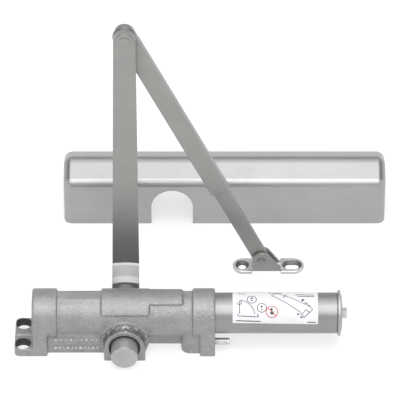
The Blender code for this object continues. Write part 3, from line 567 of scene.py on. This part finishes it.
def makeStud(s):
    low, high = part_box("anchor_stud")
    radius, chamfer, half = s["radius"], s["chamfer"], s["grooveHalf"]
    profile = [(0, low[0]), (radius, low[0])]
    start, end = s["grooveStart"], high[0] - s["plainEnd"]
    for i in range(s["grooves"]):
        x = start + (end - start) * i / (s["grooves"] - 1)
        profile += [(radius, x - half), (radius - s["groove"], x), (radius, x + half)]
    profile += [(radius, high[0] - chamfer), (radius - chamfer, high[0]), (0, high[0])]
    centre = middleOf("anchor_stud")
    piece = gather("anchorStud", [lathe(profile, "X", (centre.y, centre.z), 48)])
    return dress(piece, s, paints["zinc"])


makeTube(tube)
makeEndCap(endCap)
makePowerScrew(powerScrew)
makeStud(stud)
print("tube end made")

# Cap over the unused pinion end
cap = {
    "body": "closer_body", "slot": "casting_paint", "nodes": ["pinion_cap"],
    "wall": 0.0017, "edge": 0.0010, "dish": 0.00025, "dishRim": (0.0012, 0.0008),
}


def makeCap(c):
    low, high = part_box("pinion_cap")
    radius = (high[2] - low[2]) / 2
    edge = c["edge"]
    inner, dish, floor = radius - c["wall"], low[1] + c["dish"], low[1] + c["wall"]
    r0, r1 = (radius - edge - back for back in c["dishRim"])
    profile = [(0, dish), (r0, dish), (r1, low[1])]
    profile += arcPoints((radius - edge, low[1] + edge), edge, -90, 0, 6)
    profile += [(radius, high[1]), (inner, high[1]), (inner, floor), (0, floor)]
    piece = gather("pinionCap", [lathe(profile, "Y", pinionAt, 128)])
    return dress(polish(piece, 0.00008, 1, 70), c, paints["capPaint"])


makeCap(cap)

# Main arm: a tapered strip bent back from its hub
mainArm = {
    "body": "main_arm", "slot": "arm_paint", "nodes": ["main_arm"],
    "thick": 0.0065, "hubRadius": 0.0128, "hubY": 0.0310, "plateY": 0.0468, "bladeY": 0.0600,
    "bend": (0.0283, 0.0443), "elbowRadius": 0.01005, "boss": (0.0086, 0.0008), "pinHole": 0.0043,
    "square": 0.0058, "squareDepth": 0.0423, "screwHole": 0.0037, "edge": 0.0007,
    "profile": ((0, 0), (0.06, 0.12), (0.60, 0.635), (0.85, 0.965), (1, 1)), "curl": 0.40,
    "bendCuts": (0.008, 0.0088, 62), "bladeCuts": (0.08, 0.15, 0.22), "sideCuts": (-0.012, 0.001, 25),
    "pinHoleY": (0.05, 0.08), "screwHoleY": (0.038, 0.07), "squareStart": 0.02, "overlap": 0.001,
}
elbow = middleOf("elbow_pin")
elbowAt = (elbow.x, elbow.z)


def makeMainArm(a):
    outline = arcPoints(pinionAt, a["hubRadius"], 180, 360, 32)
    outline += arcPoints(elbowAt, a["elbowRadius"], 0, 180, 32)
    bm = bmesh.new()
    bm.faces.new([bm.verts.new((x, a["plateY"], z)) for x, z in outline])
    low, high = a["bend"]
    below, extra, count = a["bendCuts"]
    cuts = [low - below + (high - low + extra) * i / count for i in range(count + 1)]
    cuts += [high + 0.002, *a["bladeCuts"], elbow.z - 0.001]
    first, step, count = a["sideCuts"]
    sliceAlong(bm, "X", [first + step * i for i in range(count)])
    sliceAlong(bm, "Z", cuts)
    reach = a["bladeY"] - a["plateY"]
    for v in bm.verts:
        # The bend curls round the hub
        aroundHub = math.hypot(v.co.x - pinion.x, v.co.z - pinion.z) + pinion.z
        height = v.co.z + (aroundHub - v.co.z) * a["curl"]
        down = (high - height) / (high - low) if v.co.z > pinion.z + 0.004 else 1
        down = min(max(down, 0), 1)
        # Picks the stretch of the profile that this height falls in
        for (d0, y0), (d1, y1) in zip(a["profile"], a["profile"][1:]):
            if down <= d1:
                break
        v.co.y = a["bladeY"] - reach * (y0 + (y1 - y0) * (down - d0) / (d1 - d0))
    bmesh.ops.recalc_face_normals(bm, faces=bm.faces)
    if sum(f.normal.y * f.calc_area() for f in bm.faces) > 0:
        bmesh.ops.reverse_faces(bm, faces=bm.faces)
    bmesh.ops.solidify(bm, geom=bm.faces[:], thickness=a["thick"])
    arm = gather("mainArm", [bm])
    bossR, bossH = a["boss"]
    front, over = a["bladeY"], a["overlap"]
    hub = rod(a["hubRadius"], "Y", pinionAt, a["hubY"], a["plateY"] + 2 * over, 96)
    boss = rod(bossR, "Y", elbowAt, front - bossH, front + over, 72)
    for shape in (soften(hub, 0.0005), soften(boss, 0.0004)):
        combine(arm, gather("boss", [shape]), "UNION")
    carve(arm, [rod(a["pinHole"], "Y", elbowAt, *a["pinHoleY"], 48)])
    half = a["square"]
    square = box2d(-half, half, pinion.z - half, pinion.z + half)
    carve(arm, [slab(square, "Y", a["squareStart"], a["squareDepth"])])
    carve(arm, [rod(a["screwHole"], "Y", pinionAt, *a["screwHoleY"], 48)])
    return dress(polish(arm, a["edge"], 3, 50), a, paints["armPaint"])


arm = makeMainArm(mainArm)
print("main arm made", len(arm.data.polygons))

# Rivet and washer at the elbow, screw and washer on the hub
elbowPin = {
    "body": "main_arm", "slot": "steel", "nodes": ["elbow_pin"],
    "shank": 0.0040, "front": 0.0051, "back": 0.0065, "frontHead": 0.0007, "backHead": 0.0022,
}
elbowWasher = {
    "body": "main_arm", "slot": "steel", "nodes": ["elbow_washer"], "hole": 0.0043, "edge": 0.0003,
}
armScrew = {
    "body": "main_arm", "slot": "zinc_plate", "nodes": ["arm_screw"], "shank": 0.0034, "flats": 0.0110,
    "headLength": 0.0045,
}
armWasher = {
    "body": "main_arm", "slot": "zinc_plate", "nodes": ["arm_washer"], "hole": 0.0037, "edge": 0.0002,
}


def headProfile(radius, crown, base):
    # A domed rivet head from its crown to its base, or the other way round for a crown above the base
    turns = [math.radians(90 - 9 * i) for i in range(1, 10)]
    points = [(0, crown)] + [(radius * math.cos(t), base + (crown - base) * math.sin(t)) for t in turns]
    return points if crown < base else points[::-1]


def makeElbowPin(p):
    low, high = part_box("elbow_pin")
    under = low[1] + p["frontHead"]
    over = high[1] - p["backHead"]
    profile = headProfile(p["front"], low[1], under) + [(p["shank"], under), (p["shank"], over)]
    profile += headProfile(p["back"], high[1], over)
    return dress(gather("elbowPin", [lathe(profile, "Y", elbowAt, 64)]), p, paints["armPaint"])


def makeWasher(name, node, about, finish):
    low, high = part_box(node)
    centre = middleOf(node)
    radius, edge = (high[0] - low[0]) / 2, about["edge"]
    profile = [(about["hole"], low[1]), (radius - edge, low[1]), (radius, low[1] + edge),
               (radius, high[1] - edge), (radius - edge, high[1]), (about["hole"], high[1])]
    return dress(gather(name, [lathe(profile, "Y", (centre.x, centre.z), 64)]), about, finish)


def makeArmScrew(s):
    low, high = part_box("arm_screw")
    head, shank = (high[1] - s["headLength"], high[1]), (low[1], high[1] - 0.002)
    return dress(hexScrew("armScrew", "Y", pinionAt, s, head, shank), s, paints["zinc"])


makeElbowPin(elbowPin)
makeWasher("elbowWasher", "elbow_washer", elbowWasher, paints["steel"])
makeWasher("armWasher", "arm_washer", armWasher, paints["zinc"])
makeArmScrew(armScrew)

# Forearm: a flat tube on the elbow and a bar that slides in it. Drawn hanging straight down, then tilted.
forearm = {
    "body": "forearm", "slot": "arm_paint", "nodes": ["forearm_tube"],
    "front": 0.0695, "deep": 0.0080, "half": 0.0091, "wall": 0.0014, "end": 0.2015, "knuckle": 0.0103,
    "knuckleDeep": 0.0065, "hollow": 0.045, "pinHole": 0.0043, "edge": 0.0012,
    "screws": (0.160, 0.180), "screwHole": 0.0028, "past": 0.01, "knuckleOver": 0.003,
}
bar = {
    "body": "rod", "slot": "arm_paint", "nodes": ["forearm_rod"],
    "half": 0.0074, "thick": 0.0046, "start": 0.096, "pinHole": 0.0035, "edge": 0.0008,
}
lockScrews = {
    "body": "forearm", "slot": "zinc_plate", "shank": 0.0025, "flats": 0.0080, "headLength": 0.0032,
    "gap": 0.0003, "sunk": 0.002,
}
pivot = middleOf("shoe_pivot_pin")
acrossPin = (0.06, 0.09)
reach = Vector((pivot.x - elbow.x, 0, pivot.z - elbow.z))
tilt = Matrix.Translation((elbow.x, 0, elbow.z)) @ Matrix.Rotation(-math.atan2(reach.x, -reach.z), 4, "Y")


def tilted(piece):
    piece.data.transform(tilt)
    return piece


def makeForearm(f):
    front, back = f["front"], f["front"] + f["deep"]
    half, past, wall = f["half"], f["past"], f["wall"]
    body = slab(box2d(-half, half, -f["end"], -f["knuckle"]), "Y", front, back)
    shell = gather("forearmTube", [soften(body, f["edge"], 4)])
    foot = -f["knuckle"] - f["knuckleOver"]
    end = slab(arcPoints((0, 0), half, 0, 180, 32) + [(-half, foot), (half, foot)],
               "Y", front, front + f["knuckleDeep"])
    combine(shell, gather("knuckle", [soften(end, 0.0008, 3)]), "UNION")
    inner = half - wall
    hollow = slab(box2d(-inner, inner, -f["end"] - past, -f["hollow"]), "Y", front + wall, back - wall)
    carve(shell, [soften(hollow, 0.0004, 2)])
    holes = [rod(f["pinHole"], "Y", (0, 0), front - past, back + past, 48)]
    for place in f["screws"]:
        holes.append(rod(f["screwHole"], "Y", (0, -place), back - wall - 0.001, back + past, 32))
    carve(shell, holes)
    return dress(tilted(polish(shell, 0.0002, 2, 50)), f, paints["armPaint"])


def makeBar(b):
    centre = forearm["front"] + forearm["deep"] / 2
    outline = arcPoints((0, -reach.length), b["half"], 180, 360, 32)
    outline += [(b["half"], -b["start"]), (-b["half"], -b["start"])]
    shape = soften(slab(outline, "Y", centre - b["thick"] / 2, centre + b["thick"] / 2), b["edge"], 3)
    piece = gather("forearmBar", [shape])
    carve(piece, [rod(b["pinHole"], "Y", (0, -reach.length), *acrossPin, 48)])
    return dress(tilted(polish(piece, 0.0001, 1, 60)), b, paints["armPaint"])


def makeLockScrew(i, place, s):
    back = forearm["front"] + forearm["deep"]
    tip = forearm["front"] + forearm["deep"] / 2 + bar["thick"] / 2 + s["gap"]
    under = back + s["gap"]
    head, shank = (under, under + s["headLength"]), (tip, back + s["sunk"])
    screw = hexScrew(f"lockScrew{i}", "Y", (0, -place), s, head, shank, 32)
    about = dict(s, nodes=[f"forearm_lock_screw_{i}"])
    return dress(tilted(screw), about, paints["zinc"])


makeForearm(forearm)
makeBar(bar)
for i, place in enumerate(forearm["screws"], 1):
    makeLockScrew(i, place, lockScrews)
print("forearm made")

# Frame bracket with its two wings and two ears, and the pin through it
shoe = {
    "body": "shoe", "slot": "shoe_zinc", "nodes": ["shoe_bracket"],
    "plateZ": (0.0269, 0.0304), "plateX": (0.1009, 0.1683), "half": 0.0102, "waistX": (0.1193, 0.1460),
    "earY": 0.00575, "earThick": 0.0030, "earRadius": 0.0096, "holeX": 0.1100, "slotX": 0.1569,
    "hole": 0.00365, "sink": (0.0026, 0.0029), "slotHalf": 0.0028, "pinHole": 0.0035, "edge": 0.0007,
    "earEdge": 0.0005, "spread": 0.003, "cutter": 0.01, "sinkOver": 0.0006, "voxel": 0.0004,
}
shoePin = {
    "body": "shoe", "slot": "steel", "nodes": ["shoe_pivot_pin"], "shank": 0.0032, "head": 0.0046,
    "headLength": 0.0008,
}


def shoeShapes(s):
    y, half = pivot.y, s["half"]
    low, high = s["plateZ"]
    w0, w1 = s["waistX"]
    waist = box2d(w0 - s["spread"], w1 + s["spread"], y - s["earY"], y + s["earY"])
    yield soften(slab(waist, "Z", low, high), s["edge"])
    for inner, outer, side in ((w0, s["plateX"][0], -1), (w1, s["plateX"][1], 1)):
        wing = arcPoints((outer - side * half, y), half, -90 * side, 180 - 90 * side, 24)
        wing += [(inner, y + side * half), (inner, y - side * half)]
        yield soften(slab(wing, "Z", low, high), s["edge"])
    outline = arcPoints((pivot.x, pivot.z), s["earRadius"], 40, 180, 20) + [(w0, low), (w1, low), (w1, high)]
    for side in (-1, 1):
        span = sorted((y + side * s["earY"], y + side * (s["earY"] - s["earThick"])))
        yield soften(slab(outline, "Y", *span), s["earEdge"])


def makeShoe(s):
    y, out = pivot.y, s["cutter"]
    low, high = s["plateZ"]
    piece = castFrom(gather("frameBracket", shoeShapes(s)), s["voxel"], 2)
    piece.data.materials.append(paints["zinc"])
    piece.data.materials.append(paints["armPaint"])
    # The wings are bare plating; the ears between them get the darker arm paint
    for face in piece.data.polygons:
        x, across, z = face.center
        inWaist = s["waistX"][0] < x < s["waistX"][1]
        onEar = z > high + 0.0002 or abs(across - y) > s["earY"] - 0.0005
        face.material_index = int(inWaist and onEar)
    depth, grow = s["sink"]
    over = s["sinkOver"]
    # The hole walls and countersinks get the darker zinc as painted shade
    inside = paints["zincPaintedShade"]
    for x, half in ((s["holeX"], 0), (s["slotX"], s["slotHalf"])):
        if half:
            hole = slab(slotPoints((x, y), half, s["hole"]), "Z", low - out, high + out)
        else:
            hole = rod(s["hole"], "Z", (x, y), low - out, high + out, 64)
        carve(piece, [hole], inside)
        sink = slab(slotPoints((x, y), max(half, 0.00002), s["hole"]), "Z", high - depth, high + over)
        for v in [v for v in sink.verts if v.co.z > high]:
            middle = Vector((min(max(v.co.x, x - half), x + half), y, v.co.z))
            v.co = middle + (v.co - middle).normalized() * (s["hole"] + grow + over)
        carve(piece, [sink], inside)
    carve(piece, [rod(s["pinHole"], "Y", (pivot.x, pivot.z), *acrossPin, 48)])
    return dress(piece, s, None)


def makeShoePin(p):
    low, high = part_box("shoe_pivot_pin")
    under, over = low[1] + p["headLength"], high[1] - p["headLength"]
    profile = headProfile(p["head"], low[1], under) + [(p["shank"], under), (p["shank"], over)]
    profile += headProfile(p["head"], high[1], over)
    return dress(gather("bracketPin", [lathe(profile, "Y", (pivot.x, pivot.z), 64)]), p, paints["steel"])


bracket = makeShoe(shoe)
makeShoePin(shoePin)
print("bracket made", len(bracket.data.polygons))

# Box cover with a low gable, rounded ends and an arch in front and back
cover = {
    "body": "cover", "slot": "cover_finish", "nodes": ["cover"],
    "shoulder": 0.0497, "wall": 0.0012, "upright": 0.0078, "gable": 0.0078, "eave": 0.0056, "ridge": 0.0078,
    "arch": (0.0430, 0.0203, 0.0200), "cutter": 0.01, "segments": 8,
}


def makeCover(c):
    low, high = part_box("cover")
    section = [(low[1], 0), (high[1], 0), (high[1], c["shoulder"]), (middleOf("cover").y, high[2]),
               (low[1], c["shoulder"])]
    bm = slab(section, "X", low[0], high[0])
    weights = bm.edges.layers.float.new("bevel_weight_edge")
    widest = c["upright"]
    for edge in bm.edges:
        a, b = edge.verts
        lie = (a.co - b.co).normalized()
        height = (a.co.z + b.co.z) / 2
        if height < 0.001:
            continue
        if abs(lie.z) > 0.9:
            edge[weights] = 1
        elif abs(lie.x) > 0.5:
            edge[weights] = (c["ridge"] if height > c["shoulder"] + 0.004 else c["eave"]) / widest
        else:
            edge[weights] = c["gable"] / widest
    floor = [f for f in bm.faces if f.normal.z < -0.9]
    bmesh.ops.delete(bm, geom=floor, context="FACES_ONLY")
    piece = gather("boxCover", [bm])
    bevel = piece.modifiers.new("corners", "BEVEL")
    bevel.width = widest
    bevel.segments = c["segments"]
    bevel.limit_method = "WEIGHT"
    bevel.miter_outer = "MITER_SHARP"
    shell = piece.modifiers.new("wall", "SOLIDIFY")
    shell.thickness = c["wall"]
    shell.offset = -1
    settle(piece)
    x, z, radius = c["arch"]
    out = c["cutter"]
    outline = arcPoints((x, z), radius, 0, 180, 64) + [(x - radius, -out), (x + radius, -out)]
    carve(piece, [slab(outline, "Y", low[1] - out, high[1] + out)])
    return dress(polish(piece, 0.0002, 2, 60), c, paints["coverSilver"])


lid = makeCover(cover)
print("cover made", len(lid.data.polygons))

# Label on the tube, with plain line drawings. Places on it are millimetres from its lower left corner.
label = {
    "body": "closer_body", "slot": "label_paper", "nodes": ["instruction_label"],
    "x": (0.1002, 0.1793), "start": 10, "end": 188, "skew": 4.0, "gap": 0.0003, "thick": 0.0002, "round": 1.0,
    "drawnOn": 0.01955, "strips": 60,
}
prints = {
    "body": "closer_body", "slot": "label_paper", "nodes": [],
    "line": 0.68, "lift": 0.00003, "ink": 0.00001, "slash": 0.7,
    "bars": ((5.0, 7.0, 24.0, 6.5, 1), (5.0, 7.0, 4.4, 9.0, 1), (24.0, 6.5, 22.8, 9.2, 1),
             (6.5, 9.0, 6.2, 22.0, 1), (36.0, 29.0, 62.0, 12.0, 1), (41.0, 33.0, 72.0, 16.5, 1),
             (36.0, 29.0, 41.0, 33.0, 1), (47.0, 26.0, 50.0, 31.0, 1), (62.0, 12.0, 66.0, 6.5, 1),
             (66.0, 6.5, 74.0, 14.0, 1), (74.0, 14.0, 70.0, 19.0, 1), (64.5, 10.0, 68.0, 14.0, 1),
             (68.0, 14.0, 71.5, 11.0, 1), (64.0, 22.5, 66.0, 24.5, 3), (66.5, 21.0, 69.5, 19.5, 1.5),
             (60.0, 9.0, 61.0, 10.0, 3), (63.0, 6.3, 64.0, 7.2, 3), (17.0, 24.0, 18.4, 26.0, 2.4),
             (17.4, 21.8, 18.4, 22.6, 2.4), (26.4, 17.0, 27.2, 15.2, 2.4), (26.8, 13.4, 27.4, 12.6, 2.4),
             (3.2, 2.4, 26.0, 2.0, 1.4), (69.0, 2.0, 77.0, 1.9, 1.4), (58.0, 31.0, 76.0, 30.6, 1.4),
             (60.0, 28.6, 76.0, 28.3, 1.4), (5.0, 31.5, 12.0, 31.3, 1.4), (33.0, 33.6, 46.0, 33.2, 1.4)),
    "arcs": ((5.0, 7.0, 15.5, 8, 82), (17.8, 23.6, 4.2, 0, 360), (27.0, 15.0, 4.2, 0, 360),
             (6.0, 20.0, 2.2, 200, 420)),
    "ring": (36.4, 11.3, 5.3, 0.8), "dots": ((36.4, 10.4, 1.7), (36.0, 13.7, 1.2)),
}
perMetre = 1000
labelTurn = math.degrees(1 / perMetre / label["drawnOn"])


def wrap(bm, radius):
    # Bends a flat shape, drawn in millimetres, round the tube from the label's lower left corner
    x0, x1 = label["x"]
    for v in bm.verts:
        share = v.co.x / ((x1 - x0) * perMetre)
        angle = math.radians(label["start"] + v.co.y * labelTurn - label["skew"] * (share - 0.5))
        reachOut = radius + v.co.z
        v.co = Vector((x0 + v.co.x / perMetre, bore.y - reachOut * math.cos(angle),
                       bore.z + reachOut * math.sin(angle)))
    return bm


def flatBar(u0, v0, u1, v1, width):
    bm = bmesh.new()
    bmesh.ops.create_grid(bm, x_segments=12, y_segments=1, size=0.5)
    across = Vector((u1 - u0, v1 - v0))
    turn = Matrix.Translation(((u0 + u1) / 2, (v0 + v1) / 2, 0)) @ Matrix.Rotation(
        math.atan2(across.y, across.x), 4, "Z")
    bmesh.ops.transform(bm, matrix=turn @ Matrix.Diagonal((across.length, width, 1, 1)), verts=bm.verts)
    return bm


def flatArc(u, v, radius, start, end, width):
    bm = bmesh.new()
    inner = bm.verts.new((radius - width / 2, 0, 0))
    outer = bm.verts.new((radius + width / 2, 0, 0))
    edge = bm.edges.new((inner, outer))
    bmesh.ops.rotate(bm, verts=bm.verts, cent=(0, 0, 0), matrix=Matrix.Rotation(math.radians(start), 3, "Z"))
    bmesh.ops.spin(bm, geom=[inner, outer, edge], cent=(0, 0, 0), axis=(0, 0, 1),
                   angle=math.radians(end - start), steps=48, use_merge=end - start == 360)
    bmesh.ops.translate(bm, verts=bm.verts, vec=(u, v, 0))
    return bm


def thicken(bm, height):
    grown = bmesh.ops.extrude_face_region(bm, geom=bm.faces[:])["geom"]
    moved = [v for v in grown if isinstance(v, bmesh.types.BMVert)]
    bmesh.ops.translate(bm, verts=moved, vec=(0, 0, height))
    bmesh.ops.recalc_face_normals(bm, faces=bm.faces)
    return bm


def makeLabel(paper):
    low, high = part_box("spring_tube")
    radius = (high[2] - low[2]) / 2 + paper["gap"]
    wide = (paper["x"][1] - paper["x"][0]) * perMetre
    tall = (paper["end"] - paper["start"]) / labelTurn
    corner, strips = paper["round"], paper["strips"]
    right, top = wide - corner, tall - corner
    middles = ((right, corner), (right, top), (corner, top), (corner, corner))
    outline = []
    for quarter, middle in enumerate(middles):
        outline += arcPoints(middle, corner, 90 * quarter - 90, 90 * quarter, 6)
    bm = bmesh.new()
    bm.faces.new([bm.verts.new((u, v, 0)) for u, v in outline])
    sliceAlong(bm, "Y", [tall * i / strips for i in range(1, strips)], 1e-6)
    piece = gather("tubeLabel", [wrap(thicken(bm, paper["thick"]), radius)])
    return dress(piece, paper, paints["labelPaper"]), radius + paper["thick"]


def makePrints(p, radius):
    line = p["line"]
    black = [flatBar(*bar[:4], line * bar[4]) for bar in p["bars"]]
    black += [flatArc(u, v, r, start, end, line) for u, v, r, start, end in p["arcs"]]
    black += [flatArc(u, v, r / 2, 0, 360, r) for u, v, r in p["dots"]]
    u, v, r, wide = p["ring"]
    out = r * p["slash"]
    red = [flatArc(u, v, r, 0, 360, wide), flatBar(u - out, v + out, u + out, v - out, wide)]
    for name, shapes, ink in (("printedLines", black, "blackInk"), ("printedRing", red, "redInk")):
        shapes = [wrap(thicken(shape, p["ink"]), radius + p["lift"]) for shape in shapes]
        dress(gather(name, shapes), p, paints[ink])


sheet, printRadius = makeLabel(label)
makePrints(prints, printRadius)
print("label made", len(sheet.data.polygons))

# CAD pieces that keep their own shape
kept = {
    "steel": ("pinion_shaft", "piston", "check_ball", "spring_seat", "end_plug"),
    "springSteel": ("closing_spring",),
    "bronze": ("pinion_bearing_front", "pinion_bearing_back"),
    "rubber": ("pinion_seal_front", "pinion_seal_back", "piston_seal_ring"),
    "zinc": ("latch_valve_screw", "sweep_valve_screw", "backcheck_valve_screw"),
}
for finish, nodes in kept.items():
    for node in nodes:
        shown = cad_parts[node]
        shown.data.materials.clear()
        shown.data.materials.append(paints[finish])

# Studio: pale floor, one large soft light in front and above, weaker ones behind and at the sides
studio = {
    "camera": (0.070, -2.6887, 2.3298), "pitch": 51.2, "lens": 342, "sensor": 36, "far": 50,
    "floorGlow": 0.66, "floorShade": 0.34, "floorRough": 0.9, "floorHalf": 12, "floorDrop": 0.0002,
    "horizon": 0.90, "zenith": 0.12, "horizonTop": (0.30, 0.60),
    "lights": (("front", (0.10, -1.65, 2.70), (3.2, 2.8), 85),
               ("top", (0.07, 0.30, 3.30), (3.5, 2.6), 57),
               ("behind", (0.07, 1.97, 2.35), (3.4, 0.42), 12),
               ("left", (-2.6, -0.6, 1.4), (1.2, 1.8), 8), ("right", (2.7, -0.4, 1.4), (1.2, 1.8), 8)),
    "cool": (0.965, 0.98, 1.0), "aim": (0.07, 0.02, 0.10),
}


def makeStudio(s):
    lens = bpy.data.cameras.new("camera")
    lens.lens = s["lens"]
    lens.sensor_width = s["sensor"]
    lens.clip_end = s["far"]
    camera = bpy.data.objects.new("camera", lens)
    camera.location = s["camera"]
    camera.rotation_euler = (math.radians(s["pitch"]), 0, 0)
    bpy.context.scene.collection.objects.link(camera)
    bpy.context.scene.camera = camera
    for name, place, size, power in s["lights"]:
        light = bpy.data.lights.new(name, "AREA")
        light.shape = "RECTANGLE"
        light.size, light.size_y = size
        light.energy = power
        light.color = s["cool"]
        lamp = bpy.data.objects.new(name, light)
        lamp.location = place
        lamp.rotation_euler = (Vector(place) - Vector(s["aim"])).to_track_quat("Z", "Y").to_euler()
        lamp.visible_camera = False
        bpy.context.scene.collection.objects.link(lamp)
    world = bpy.data.worlds.new("studio")
    world.use_nodes = True
    nodes, links = world.node_tree.nodes, world.node_tree.links
    where = nodes.new("ShaderNodeTexCoord")
    parts = nodes.new("ShaderNodeSeparateXYZ")
    fade = nodes.new("ShaderNodeMapRange")
    fade.inputs["From Min"].default_value, fade.inputs["From Max"].default_value = s["horizonTop"]
    fade.inputs["To Min"].default_value = s["horizon"]
    fade.inputs["To Max"].default_value = s["zenith"]
    links.new(where.outputs["Generated"], parts.inputs["Vector"])
    links.new(parts.outputs["Z"], fade.inputs["Value"])
    links.new(fade.outputs["Result"], nodes["Background"].inputs["Color"])
    bpy.context.scene.world = world
    bpy.context.scene.view_settings.view_transform = "Standard"
    bm = bmesh.new()
    bmesh.ops.create_grid(bm, x_segments=1, y_segments=1, size=s["floorHalf"])
    floor = gather("floor", [bm])
    floor.location = (0, 0, -s["floorDrop"])
    pale = bpy.data.materials.new("paleFloor")
    pale.use_nodes = True
    shader = pale.node_tree.nodes["Principled BSDF"]
    shader.inputs["Base Color"].default_value = (s["floorShade"], s["floorShade"], s["floorShade"], 1)
    shader.inputs["Roughness"].default_value = s["floorRough"]
    shader.inputs["Emission Color"].default_value = (1, 1, 1, 1)
    shader.inputs["Emission Strength"].default_value = s["floorGlow"]
    floor.data.materials.append(pale)


makeStudio(studio)
print("studio ready")
